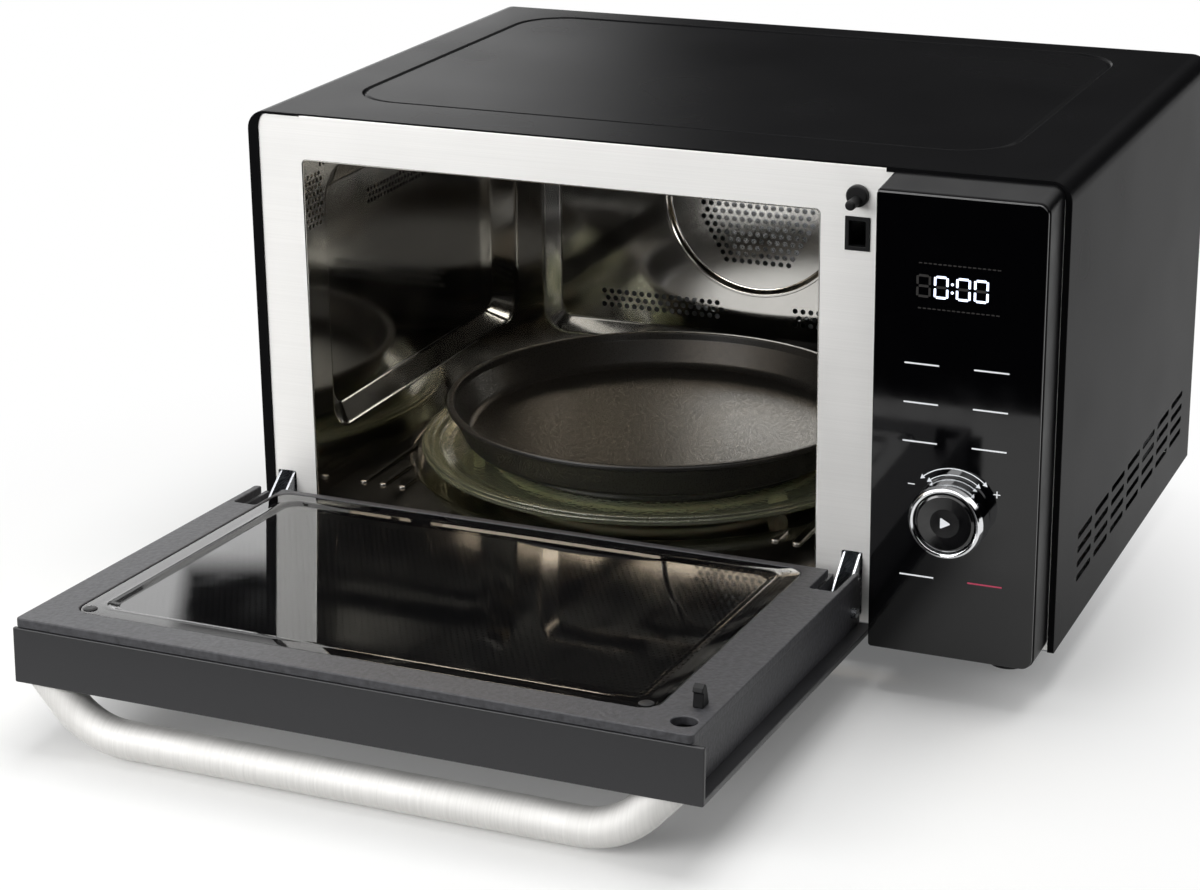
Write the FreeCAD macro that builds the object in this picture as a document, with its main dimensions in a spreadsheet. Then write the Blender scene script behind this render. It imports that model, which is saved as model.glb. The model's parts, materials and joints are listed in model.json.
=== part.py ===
"""Combination microwave oven with a drop-down door, as a parametric FreeCAD document. Millimetres, +Z up.

The origin lies on the table under the middle of the oven with its door open, and the front faces -Y.
Sizes inside the cabinet are measured from the front plate's face in Y and from the cabinet's underside in Z.
The door is drawn closed, from its hinge axis, and then hung at its open angle.
"""
import FreeCAD, Part
import Sketcher
import math
import os

Vector = FreeCAD.Vector
Rotation = FreeCAD.Rotation

# Driving dimensions
DIMENSIONS = {
    # stance
    "frame_y": -53, "foot_height": 26, "foot_top_radius": 15, "foot_low_radius": 12, "foot_inset": 36,
    "foot_front": 36, "foot_rear_gap": 40,
    # cabinet
    "cabinet_width": 520, "cabinet_height": 281, "cabinet_depth": 364, "wrapper_wall": 0.8,
    "wrapper_round": 12, "rim_proud": 1, "rim_width": 7, "sheet_gap": 0.4, "cut_over": 1,
    "recess_side": 45, "recess_front": 40, "recess_rear": 22, "recess_round": 37, "recess_depth": 0.4,
    "base_wall": 1.2, "rear_wall": 1, "rear_inset": 0.5, "vent_front": 48, "vent_length": 34,
    "vent_pitch": 42, "vent_low": 26, "vent_rise": 9, "vent_height": 4, "intake_pitch": 12,
    "intake_height": 4,
    # front plate
    "steel_wall": 1, "left_column": 36.6, "right_column": 43.4, "sill_height": 26, "top_margin": 28.7,
    "plate_corner": 8, "wire_port_width": 60, "wire_port_height": 120,
    # cavity
    "cavity_step": 2, "rear_space": 24.8, "floor_height": 28, "well_depth": 10, "well_margin": 6.1,
    "drive_hole_radius": 7, "panel_emboss": 9, "emboss_bevel": 18, "emboss_front": 30,
    "emboss_rear": 24, "emboss_low": 34, "emboss_high": 16, "fan_ring_radius": 68, "fan_ring_depth": 4,
    "fan_rise": 131, "fan_shift": 5.4, "grille_pitch": 8, "grille_hole_radius": 2.7,
    # hot air unit
    "housing_radius": 92, "housing_depth": 21, "housing_wall": 1, "blower_radius": 58,
    "blower_depth": 9, "blower_disc": 1.2, "blower_gap": 4, "blower_shaft_radius": 3.5,
    "shaft_play": 0.5, "ring_heater_radius": 76, "heater_rod_radius": 3.4, "heater_lead_radius": 2.7,
    "ring_heater_back": 11, "motor_radius": 28, "motor_length": 24, "motor_hole_play": 1.2,
    "cover_half": 72, "cover_depth": 30, "cover_wall": 1,
    # grill
    "grill_length": 220, "grill_pitch": 60, "grill_drop": 10, "grill_rise": 12, "grill_hole_play": 0.6,
    # microwave unit
    "guide_width": 80, "guide_height": 66, "guide_depth": 38, "guide_wall": 1, "guide_front": 120,
    "guide_low": 124, "port_margin": 8, "mica_thickness": 0.6, "mica_margin": 6, "tube_depth": 74,
    "tube_height": 88, "tube_width": 84, "antenna_radius": 8, "antenna_length": 20, "antenna_play": 1.5,
    "fin_gap": 4, "fin_pitch": 12, "core_width": 94, "core_depth": 64, "core_height": 78,
    "core_rear_gap": 56, "core_limb": 16, "winding_play": 0.4, "winding_proud": 12,
    # cooling fan
    "shroud_side": 100, "shroud_depth": 30, "shroud_low": 92, "shroud_bore": 46, "fan_radius": 43,
    "fan_hub": 14, "fan_depth": 14, "fan_blade": 1.6, "fan_twist": 38, "fan_motor_radius": 18,
    "fan_motor_length": 18, "fan_arm_width": 12, "fan_arm_wall": 3, "fan_pin_radius": 2.5,
    # mains inlet
    "gland_radius": 10, "gland_bore": 4, "gland_flange": 14, "gland_flange_wall": 4,
    "gland_nut_wall": 8, "gland_height": 42, "gland_inset": 60,
    # turntable
    "drive_motor_radius": 25, "drive_shaft_radius": 3, "drive_shaft_length": 7, "coupling_radius": 9,
    "lobe_reach": 20, "lobe_width": 10, "lobe_sink": 1.6, "drive_play": 0.5, "roller_radius": 5.7,
    "roller_width": 6, "roller_inset": 17.5, "roller_play": 0.3, "ring_step": 18, "ring_width": 8,
    "ring_wall": 3, "axle_radius": 1.5, "tray_play": 3, "tray_wall": 4, "tray_rise": 10,
    "tray_slope": 20.5, "pan_inset": 17.5, "pan_taper": 12, "pan_height": 33, "pan_foot": 8,
    "pan_wall": 2.5, "pan_foot_inset": 15.5, "pan_foot_width": 5,
    # door lock
    "catch_inset": 20.8, "stud_drop": 18.5, "stud_base_radius": 6.5, "stud_base_length": 4,
    "stud_pin_radius": 3, "stud_pin_drop": 2.5, "stud_length": 16, "stud_screw_radius": 4,
    "stud_screw_length": 5, "lock_drop": 41,
    "lock_width": 13, "lock_height": 18, "bezel_lip": 1, "bezel_wall": 1.5, "bezel_depth": 4,
    "bezel_play": 0.3, "bracket_wall": 2, "bracket_width": 30, "bracket_height": 56,
    "bracket_depth": 34, "switch_width": 10, "switch_height": 16, "switch_length": 28,
    "switch_back": 18, "hook_width": 6, "hook_height": 8, "hook_reach": 13, "hook_lip": 2,
    "hook_tip": 4, "hook_foot_margin": 1, "hook_foot_wall": 2,
    # hinges
    "hinge_forward": 25, "hinge_height": 17.5, "hinge_left_inset": 15.5, "hinge_right_inset": 20.8,
    "cheek_wall": 1.5, "cheek_half": 5.5, "cheek_back": 10, "cheek_top": 60, "cheek_low": 4,
    "slot_half": 6.4, "slot_low": 6, "slot_top": 45.5, "slot_play": 1.2, "ear_reach": 6, "ear_rise": 8,
    "pin_radius": 3, "pin_play": 0.4, "pin_half": 12, "notch_half": 7.6, "notch_rise": 31,
    # door
    "door_open": 87.2, "door_margin": 1.5, "door_gap": 3.3, "door_clear": 1.7, "door_top_gap": 2,
    "door_below": 14, "door_thickness": 37.7, "frame_thickness": 5.4, "frame_inset": 1.5,
    "frame_below": 4, "frame_top_inset": 0.6, "side_channel": 6.4, "layer_gap": 0.1, "mesh_wall": 0.8, "mesh_margin": 6,
    "skin_wall": 3.9, "skin_lip": 3, "tub_inset": 2, "tub_wall": 3, "window_left": 36,
    "window_right": 50, "window_low": 19, "window_high": 38, "front_glass_margin": 22,
    "inner_glass_wall": 3, "inner_glass_left": 22.5, "inner_glass_right": 37.3, "inner_glass_low": 2,
    "inner_glass_high": 24, "glass_play": 0.3, "hinge_block": 40, "catch_hole_radius": 7,
    # handle
    "handle_radius": 11.25, "handle_standoff": 28.6, "handle_bend": 50, "handle_left": 16.5,
    "handle_right": 25, "handle_drop": 12,
    # control panel
    "panel_width": 98.7, "panel_gap": 4, "panel_depth": 31, "panel_low": 1.5, "panel_top_gap": 5,
    "panel_bevel": 3, "panel_wall": 2.5, "panel_back": 0.2, "glass_wall": 2.5, "glass_inset": 0.6,
    "dial_inset": 49.5, "dial_height": 91, "dial_radius": 21.9, "dial_proud": 17.5, "dial_back": 3,
    "dial_lift": 0.5, "cap_radius": 17.2, "cap_play": 0.4, "cap_sink": 0.5, "cap_wall": 9,
    "dial_neck": 7, "neck_play": 0.8, "stem_radius": 4.2, "stem_play": 0.4, "stem_depth": 2,
    "encoder_side": 20, "encoder_depth": 6.4, "bore_depth": 4.8, "display_width": 52,
    "display_height": 28, "display_depth": 6.4, "display_drop": 68, "board_wall": 1.6,
    "board_margin": 8, "board_low": 30, "board_top_gap": 30, "seat_gap": 0.2,
}

# How many of each repeated form there are
VENT_COLUMNS = 7
VENT_ROWS = 4
INTAKE_REACH = 3
COVER_SLOT_REACH = 4
GRILLE_REACH = 6
GRILL_RUNS = 4
BLOWER_BLADES = 8
FAN_BLADES = 7
FIN_GAP_REACH = 2
DRIVE_LOBES = 3
ROLLERS = 3

# Row rise of a hexagonal pattern against its pitch, and how near two places count as one
HEX_RISE = 3 ** 0.5 / 2
TOUCH = 0.01
FULL_TURN = 360
# Slope of the handle's legs to the door, in degrees
LEG_LEAN = 48
LEG_RISE = math.sin(math.radians(LEG_LEAN))
LEG_RUN = math.cos(math.radians(LEG_LEAN))

doc = FreeCAD.newDocument("combination_oven")
sheet = doc.addObject("Spreadsheet::Sheet", "Dims")
for row, (alias, number) in enumerate(DIMENSIONS.items(), start=1):
    sheet.set("A%d" % row, alias)
    sheet.set("B%d" % row, str(number))
    sheet.setAlias("B%d" % row, alias)
doc.recompute()


class Size:
    """A length with its present number and the sheet expression that gives it."""

    def __init__(self, number, text):
        self.number = float(number)
        self.text = text

    def __add__(self, other):
        return joined(self, "+", other, self.number + size(other).number)

    def __radd__(self, other):
        return size(other) + self

    def __sub__(self, other):
        return joined(self, "-", other, self.number - size(other).number)

    def __rsub__(self, other):
        return size(other) - self

    def __mul__(self, other):
        return joined(self, "*", other, self.number * size(other).number)

    def __rmul__(self, other):
        return size(other) * self

    def __truediv__(self, other):
        return joined(self, "/", other, self.number / size(other).number)

    def __neg__(self):
        return size(0) - self


def size(value):
    return value if isinstance(value, Size) else Size(value, "(%r)" % float(value))


def joined(left, sign, right, number):
    return Size(number, "(%s %s %s)" % (left.text, sign, size(right).text))


def lesser(left, right):
    return Size(min(left.number, right.number), "min(%s; %s)" % (left.text, right.text))


class Sheet:
    """Reads a driving dimension from the spreadsheet by its alias."""

    def __getattr__(self, alias):
        return Size(sheet.get(alias), "Dims." + alias)


D = Sheet()

# Places shared by many pieces
FRAME_Y = D.frame_y
FRAME_Z = D.foot_height
HALF = D.cabinet_width / 2
ROOF = D.cabinet_height
WALL = D.steel_wall
PANEL_RIGHT = HALF - D.panel_gap
PANEL_LEFT = PANEL_RIGHT - D.panel_width
PANEL_TOP = ROOF - D.panel_top_gap
OPEN_LEFT = D.left_column - HALF
OPEN_RIGHT = PANEL_LEFT - D.right_column
OPEN_LOW = D.sill_height
OPEN_TOP = ROOF - D.top_margin
CAV_LEFT = OPEN_LEFT - D.cavity_step
CAV_RIGHT = OPEN_RIGHT + D.cavity_step
CAV_LOW = D.floor_height
CAV_TOP = OPEN_TOP + D.cavity_step
CAV_FRONT = WALL
CAV_REAR = D.cabinet_depth - D.rear_space
MID_X = (CAV_LEFT + CAV_RIGHT) / 2
MID_Y = (CAV_FRONT + CAV_REAR) / 2
WELL_RADIUS = lesser(CAV_RIGHT - CAV_LEFT, CAV_REAR - CAV_FRONT) / 2 - D.well_margin
WELL_LOW = CAV_LOW - D.well_depth
ROLLER_Z = WELL_LOW + D.roller_radius + D.roller_play
TRAY_LOW = ROLLER_Z + D.roller_radius + D.roller_play
TRAY_RADIUS = WELL_RADIUS - D.tray_play
TRAY_FLAT = TRAY_RADIUS - D.tray_slope
ROLLER_TRACK = TRAY_FLAT - D.roller_inset
RING_INNER = ROLLER_TRACK - D.ring_step
TRAY_TOP = TRAY_LOW + D.tray_wall
REAR_FACE = D.cabinet_depth - D.rear_inset
REAR_INNER = REAR_FACE - D.rear_wall
FAN_X = MID_X + D.fan_shift
FAN_Z = CAV_LOW + D.fan_rise
CATCH_X = PANEL_LEFT - D.catch_inset
STUD_Z = ROOF - D.stud_drop
LOCK_Z = ROOF - D.lock_drop
HINGE_X = {"left": D.hinge_left_inset - HALF, "right": PANEL_LEFT - D.hinge_right_inset}
HINGE_Y = -D.hinge_forward
HINGE_Z = D.hinge_height
DIAL_X = PANEL_LEFT + D.dial_inset
PANEL_FACE = -D.panel_depth
GLASS_FACE = PANEL_FACE - D.glass_wall
PANEL_INSIDE = PANEL_FACE + D.panel_wall

# Door places, closed, from the hinge axis
SKIN_LEFT = D.door_margin - HALF
SKIN_RIGHT = PANEL_LEFT - D.door_gap
FRAME_LEFT = SKIN_LEFT + D.frame_inset
FRAME_RIGHT = SKIN_RIGHT - D.side_channel
TUB_LEFT = FRAME_LEFT + D.tub_inset
TUB_RIGHT = FRAME_RIGHT - D.tub_inset
DOOR_TOP = ROOF - D.door_top_gap - HINGE_Z
DOOR_LOW = -D.door_below
TUB_TOP = DOOR_TOP - D.skin_lip - D.layer_gap
FRAME_TOP = DOOR_TOP - D.frame_top_inset
FRAME_IN = D.hinge_forward - D.door_clear
FRAME_OUT = FRAME_IN - D.frame_thickness
MESH_IN = FRAME_OUT - D.layer_gap
MESH_OUT = MESH_IN - D.mesh_wall
TUB_IN = MESH_OUT - D.layer_gap
SKIN_OUT = FRAME_IN - D.door_thickness
SKIN_IN = SKIN_OUT + D.skin_wall
TUB_OUT = SKIN_IN + D.layer_gap
WIN_LEFT = FRAME_LEFT + D.window_left
WIN_RIGHT = FRAME_RIGHT - D.window_right + D.side_channel
WIN_LOW = D.window_low
WIN_TOP = DOOR_TOP - D.window_high

nodes = []


def bind(item, prop, value):
    item.setExpression(prop, size(value).text)


def keep(item):
    """Counts an object as a finished sub-part."""
    item.Label = item.Name
    nodes.append(item)
    return item


def span(low, high):
    return (size(low), size(high))


def about(middle, half):
    return (middle - half, middle + half)


def shift_of(local):
    return (0, 0) if local else (FRAME_Y, FRAME_Z)


def box(name, x, y, z, local=False):
    item = doc.addObject("Part::Box", name)
    shift_y, shift_z = shift_of(local)
    sides = (("Length", "x", x, 0), ("Width", "y", y, shift_y), ("Height", "z", z, shift_z))
    for prop, axis, pair, shift in sides:
        bind(item, prop, pair[1] - pair[0])
        bind(item, "Placement.Base." + axis, pair[0] + shift)
    return item


TURN = {"x": Rotation(Vector(0, 1, 0), 90), "y": Rotation(Vector(1, 0, 0), -90), "z": Rotation()}


def settle(item, axis, across, start, local):
    """Puts a round primitive on its axis, with its base at the start."""
    first, second = across
    places = {"x": (start, first, second), "y": (first, start, second), "z": (first, second, start)}[axis]
    shift_y, shift_z = shift_of(local)
    item.Placement = FreeCAD.Placement(Vector(), TURN[axis])
    for letter, place, shift in zip("xyz", places, (0, shift_y, shift_z)):
        bind(item, "Placement.Base." + letter, size(place) + shift)


def rod(name, axis, across, along, radius, local=False):
    item = doc.addObject("Part::Cylinder", name)
    bind(item, "Radius", radius)
    bind(item, "Height", along[1] - along[0])
    settle(item, axis, across, along[0], local)
    return item


def cone(name, axis, across, along, start_radius, end_radius):
    item = doc.addObject("Part::Cone", name)
    bind(item, "Radius1", start_radius)
    bind(item, "Radius2", end_radius)
    bind(item, "Height", along[1] - along[0])
    settle(item, axis, across, along[0], False)
    return item


def fuse(name, *shapes):
    item = doc.addObject("Part::MultiFuse", name)
    item.Shapes = list(shapes)
    item.Refine = True
    return item


def cut(name, base, *tools):
    item = doc.addObject("Part::Cut", name)
    item.Base = base
    item.Tool = tools[0] if len(tools) == 1 else fuse(name + "_cutters", *tools)
    return item


def place(item, x=0, y=0, z=0):
    for letter, value in zip("xyz", (size(x), FRAME_Y + y, FRAME_Z + z)):
        bind(item, "Placement.Base." + letter, value)
    return item


def hang(item):
    """Puts a door piece on the hinge axis at the door's open angle."""
    item.Placement = FreeCAD.Placement(Vector(), Rotation(Vector(1, 0, 0), sheet.get("door_open")))
    bind(item, "Placement.Rotation.Angle", D.door_open)
    return place(item, 0, HINGE_Y, HINGE_Z)


def body(name):
    return doc.addObject("PartDesign::Body", name)


NORMAL = {"XY_Plane": 1, "XZ_Plane": -1, "YZ_Plane": 1}


def sketch(owner, role, level):
    item = owner.newObject("Sketcher::SketchObject", owner.Name + "_sketch")
    item.AttachmentSupport = [(next(p for p in owner.Origin.OriginFeatures if p.Role == role), "")]
    item.MapMode = "FlatFace"
    bind(item, "AttachmentOffset.Base.z", size(level) * NORMAL[role])
    return item


def pin_point(item, geometry, point, place_pair):
    """Ties one sketch point to the origin by its two coordinates."""
    for kind, value, axis in (("DistanceX", size(place_pair[0]), -2), ("DistanceY", size(place_pair[1]), -1)):
        if value.text == "(0.0)":
            item.addConstraint(Sketcher.Constraint("PointOnObject", geometry, point, axis))
        else:
            index = item.addConstraint(Sketcher.Constraint(kind, -1, 1, geometry, point, value.number))
            item.setExpression("Constraints[%d]" % index, value.text)


def outline(item, points):
    corners = [Vector(size(a).number, size(b).number, 0) for a, b in points]
    first = item.GeometryCount
    count = len(corners)
    for index in range(count):
        item.addGeometry(Part.LineSegment(corners[index], corners[(index + 1) % count]), False)
    for index in range(count):
        following = first + (index + 1) % count
        item.addConstraint(Sketcher.Constraint("Coincident", first + index, 2, following, 1))
    for index, point in enumerate(points):
        pin_point(item, first + index, 1, point)


def ring_line(item, across, upward, radius):
    centre = Vector(size(across).number, size(upward).number, 0)
    index = item.addGeometry(Part.Circle(centre, Vector(0, 0, 1), size(radius).number), False)
    pin_point(item, index, 3, (across, upward))
    limit = item.addConstraint(Sketcher.Constraint("Radius", index, size(radius).number))
    item.setExpression("Constraints[%d]" % limit, size(radius).text)


def rect(across, upward):
    return [(across[0], upward[0]), (across[1], upward[0]), (across[1], upward[1]), (across[0], upward[1])]


def drawn(owner, role, level, loops, circles):
    item = sketch(owner, role, level)
    for loop in loops:
        outline(item, loop)
    for circle in circles:
        ring_line(item, *circle)
    return item


def prism(owner, role, along, loops=(), circles=(), remove=False):
    """Adds or removes a straight prism between two levels of a plane's axis."""
    profile = drawn(owner, role, along[0], loops, circles)
    kind = "Pocket" if remove else "Pad"
    item = owner.newObject("PartDesign::" + kind, owner.Name + "_" + kind.lower())
    item.Profile = profile
    item.Reversed = remove == (NORMAL[role] > 0)
    bind(item, "Length", size(along[1]) - along[0])
    return item


def frustum(owner, role, along, first_loop, last_loop, remove=False):
    """Adds or removes a ruled loft from one outline to another."""
    first = drawn(owner, role, along[0], [first_loop], ())
    last = drawn(owner, role, along[1], [last_loop], ())
    kind = "SubtractiveLoft" if remove else "AdditiveLoft"
    item = owner.newObject("PartDesign::" + kind, owner.Name + "_" + kind.lower())
    item.Profile = first
    item.Sections = [last]
    item.Ruled = True
    return item


def lathe(owner, role, points):
    """Turns an outline about the plane's upward axis."""
    profile = drawn(owner, role, 0, [points], ())
    item = owner.newObject("PartDesign::Revolution", owner.Name + "_turned")
    item.Profile = profile
    item.ReferenceAxis = (profile, ["V_Axis"])
    item.Angle = FULL_TURN
    return item


def round_off(owner, radius, chosen):
    """Fillets the edges of the body so far that the test picks."""
    doc.recompute()
    base = owner.Tip
    names = ["Edge%d" % (i + 1) for i, edge in enumerate(base.Shape.Edges) if chosen(edge)]
    item = owner.newObject("PartDesign::Fillet", owner.Name + "_round")
    item.Base = (base, names)
    bind(item, "Radius", radius)
    return item


def runs_along(edge, axis):
    start, end = edge.Vertexes[0].Point, edge.Vertexes[-1].Point
    others = [letter for letter in "xyz" if letter != axis]
    return all(abs(getattr(start, o) - getattr(end, o)) < TOUCH for o in others)


def wrapper():
    """Folded outer sheet: the roof and both sides, with a narrow front rim and side vents."""
    owner = body("outer_wrapper")
    inner = HALF - D.wrapper_wall
    low = size(0)
    points = [(-HALF, low), (-HALF, ROOF), (HALF, ROOF), (HALF, low), (inner, low),
              (inner, ROOF - D.wrapper_wall), (-inner, ROOF - D.wrapper_wall), (-inner, low)]
    prism(owner, "XZ_Plane", (low, D.cabinet_depth), [points])
    roof = ROOF.number
    wall = D.wrapper_wall.number
    round_off(owner, D.wrapper_round,
              lambda e: runs_along(e, "y") and abs(e.CenterOfMass.z - roof) < TOUCH)
    round_off(owner, D.wrapper_round - D.wrapper_wall,
              lambda e: runs_along(e, "y") and abs(e.CenterOfMass.z - roof + wall) < TOUCH
              and abs(abs(e.CenterOfMass.x) - inner.number) < TOUCH)
    rim = rect((-HALF, D.rim_width - HALF), (low, ROOF - D.wrapper_round))
    prism(owner, "XZ_Plane", (-D.rim_proud, low), [rim])
    recess = rect((D.recess_side - HALF, HALF - D.recess_side),
                  (D.recess_front, D.cabinet_depth - D.recess_rear))
    prism(owner, "XY_Plane", (ROOF - D.recess_depth, ROOF), [recess], remove=True)
    reach = HALF.number - D.recess_side.number
    round_off(owner, D.recess_round,
              lambda e: runs_along(e, "z") and abs(abs(e.CenterOfMass.x) - reach) < TOUCH
              and e.CenterOfMass.z > roof - wall)
    slots = []
    for column in range(VENT_COLUMNS):
        start = D.vent_front + D.vent_pitch * column
        for line in range(VENT_ROWS):
            low_edge = D.vent_low + D.vent_rise * line
            slots.append(rect((start, start + D.vent_length), (low_edge, low_edge + D.vent_height)))
    prism(owner, "YZ_Plane", (inner - D.cut_over, HALF + D.cut_over), slots, remove=True)
    keep(place(owner))


def sheet_outline(low):
    """Outline of a full-size sheet that fits inside the rounded wrapper."""
    side = HALF - D.wrapper_wall - D.sheet_gap
    top = ROOF - D.wrapper_wall - D.sheet_gap
    corner = D.plate_corner
    return [(-side, low), (side, low), (side, top - corner), (side - corner, top),
            (corner - side, top), (-side, top - corner)]


def base_and_feet():
    side = HALF - D.wrapper_wall - D.sheet_gap
    sheet_box = box("base_sheet", about(0, side), (WALL, REAR_INNER), span(0, D.base_wall))
    motor_port = rod("motor_port", "z", (MID_X, MID_Y), (-D.cut_over, D.base_wall + D.cut_over),
                     D.drive_motor_radius + D.drive_play)
    keep(cut("base_plate", sheet_box, motor_port))
    for depth_name, depth in (("front", D.foot_front), ("rear", D.cabinet_depth - D.foot_rear_gap)):
        for side_name, sign in (("left", -1), ("right", 1)):
            across = ((HALF - D.foot_inset) * sign, depth)
            keep(cone("foot_%s_%s" % (depth_name, side_name), "z", across, (-D.foot_height, size(0)),
                      D.foot_low_radius, D.foot_top_radius))


def rear_panel():
    owner = body("rear_panel")
    gland = (HALF - D.gland_inset, D.gland_height, D.gland_radius + D.sheet_gap)
    motor = (FAN_X, FAN_Z, D.motor_radius + D.motor_hole_play)
    prism(owner, "XZ_Plane", (REAR_INNER, REAR_FACE), [sheet_outline(D.base_wall)], [gland, motor])
    middle = fan_centre()
    slots = []
    for line in range(-INTAKE_REACH, INTAKE_REACH + 1):
        low = middle[1] + D.intake_pitch * line - D.intake_height / 2
        slots.append(rect(about(middle[0], D.fan_radius - D.fan_hub / 2), (low, low + D.intake_height)))
    prism(owner, "XZ_Plane", (REAR_INNER - D.cut_over, REAR_FACE + D.cut_over), slots, remove=True)
    keep(place(owner))


def fan_centre():
    """Centre of the cooling fan across the cabinet and upward."""
    across = HALF - D.wrapper_wall - D.sheet_gap - D.shroud_side / 2 - D.port_margin
    return (across, D.shroud_low + D.shroud_side / 2)


def rear_cover():
    """Pressed cover over the hot air motor, outside the rear panel."""
    owner = body("rear_cover")
    across = about(FAN_X, D.cover_half)
    upward = about(FAN_Z, D.cover_half)
    back = REAR_FACE + D.cover_depth
    prism(owner, "XZ_Plane", (REAR_FACE, back), [rect(across, upward)])
    inner = rect(about(FAN_X, D.cover_half - D.cover_wall), about(FAN_Z, D.cover_half - D.cover_wall))
    prism(owner, "XZ_Plane", (REAR_FACE, back - D.cover_wall), [inner], remove=True)
    slots = []
    for line in range(-COVER_SLOT_REACH, COVER_SLOT_REACH + 1):
        low = FAN_Z + D.intake_pitch * line - D.intake_height / 2
        slots.append(rect(about(FAN_X, D.cover_half / 2), (low, low + D.intake_height)))
    prism(owner, "XZ_Plane", (back - D.cover_wall - D.cut_over, back + D.cut_over), slots, remove=True)
    keep(place(owner))


def front_plate():
    owner = body("front_plate")
    holes = [rect((OPEN_LEFT, OPEN_RIGHT), (OPEN_LOW, OPEN_TOP))]
    for middle in HINGE_X.values():
        holes.append(rect(about(middle, D.slot_half), (D.slot_low, D.slot_top)))
    holes.append(rect(about(CATCH_X, D.lock_width / 2), about(LOCK_Z, D.lock_height / 2)))
    port_x = (PANEL_LEFT + PANEL_RIGHT) / 2
    holes.append(rect(about(port_x, D.wire_port_width / 2), about(ROOF / 2, D.wire_port_height / 2)))
    stud = (CATCH_X, STUD_Z, D.stud_screw_radius + D.sheet_gap)
    prism(owner, "XZ_Plane", (size(0), WALL), [sheet_outline(D.base_wall)] + holes, [stud])
    keep(place(owner))


def side_wall():
    """Left wall of the cavity, pressed outward behind a bevelled border."""
    owner = body("cavity_left_wall")
    prism(owner, "YZ_Plane", (CAV_LEFT - WALL, CAV_LEFT), [rect((CAV_FRONT, CAV_REAR), (CAV_LOW, CAV_TOP))])
    depth = (CAV_FRONT + D.emboss_front, CAV_REAR - D.emboss_rear)
    height = (CAV_LOW + D.emboss_low, CAV_TOP - D.emboss_high)
    bevel = D.emboss_bevel

    def loop(grow, inset):
        return rect((depth[0] - grow + inset, depth[1] + grow - inset),
                    (height[0] - grow + inset, height[1] + grow - inset))
    floor = CAV_LEFT - D.panel_emboss
    frustum(owner, "YZ_Plane", (floor - WALL, CAV_LEFT), loop(WALL, bevel), loop(WALL, 0))
    frustum(owner, "YZ_Plane", (floor, CAV_LEFT), loop(0, bevel), loop(0, 0), remove=True)
    keep(place(owner))
    owner = body("cavity_right_wall")
    port = rect(guide_span(D.port_margin), guide_rise(D.port_margin))
    sheet_edge = rect((CAV_FRONT, CAV_REAR), (CAV_LOW, CAV_TOP))
    prism(owner, "YZ_Plane", (CAV_RIGHT, CAV_RIGHT + WALL), [sheet_edge, port])
    keep(place(owner))


def guide_span(inset):
    return (D.guide_front + inset, D.guide_front + D.guide_width - inset)


def guide_rise(inset):
    return (D.guide_low + inset, D.guide_low + D.guide_height - inset)


def cavity_ends():
    """Ceiling and rear wall of the cavity."""
    across = (CAV_LEFT - WALL, CAV_RIGHT + WALL)
    owner = body("cavity_ceiling")
    holes = [(x, y, D.heater_rod_radius + D.grill_hole_play) for x, y in grill_ends()]
    prism(owner, "XY_Plane", (CAV_TOP, CAV_TOP + WALL), [rect(across, (CAV_FRONT, CAV_REAR))], holes)
    keep(place(owner))
    owner = body("cavity_rear_wall")
    prism(owner, "XZ_Plane", (CAV_REAR, CAV_REAR + WALL), [rect(across, (CAV_LOW - WALL, CAV_TOP + WALL))])
    ring = (FAN_X, FAN_Z, D.fan_ring_radius)
    ring_outside = (FAN_X, FAN_Z, D.fan_ring_radius + WALL)
    ring_floor = CAV_REAR + D.fan_ring_depth
    prism(owner, "XZ_Plane", (CAV_REAR, ring_floor + WALL), (), [ring_outside])
    prism(owner, "XZ_Plane", (CAV_REAR - D.cut_over, ring_floor), (), [ring], remove=True)
    holes = []
    for line in range(-GRILLE_REACH, GRILLE_REACH + 1):
        for column in range(-GRILLE_REACH, GRILLE_REACH + 1):
            if abs(line + column) <= GRILLE_REACH:
                x = FAN_X + D.grille_pitch * (column + line / 2)
                z = FAN_Z + D.grille_pitch * (line * HEX_RISE)
                holes.append((x, z, D.grille_hole_radius))
    prism(owner, "XZ_Plane", (CAV_REAR, ring_floor + WALL + D.cut_over), (), holes, remove=True)
    keep(place(owner))


def cavity_floor():
    """Floor with a round well for the turntable."""
    across = (CAV_LEFT - WALL, CAV_RIGHT + WALL)
    middle = (MID_X, MID_Y)
    plate = box("floor_plate", across, (CAV_FRONT, CAV_REAR), (CAV_LOW - WALL, CAV_LOW))
    pan = rod("floor_pan", "z", middle, (WELL_LOW - WALL, CAV_LOW - WALL / 2), WELL_RADIUS + WALL)
    well = rod("floor_well", "z", middle, (WELL_LOW, CAV_LOW + D.cut_over), WELL_RADIUS)
    hole = rod("floor_hole", "z", middle, (WELL_LOW - WALL - D.cut_over, WELL_LOW + D.cut_over),
               D.drive_hole_radius)
    keep(cut("cavity_floor", fuse("floor_blank", plate, pan), well, hole))


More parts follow.
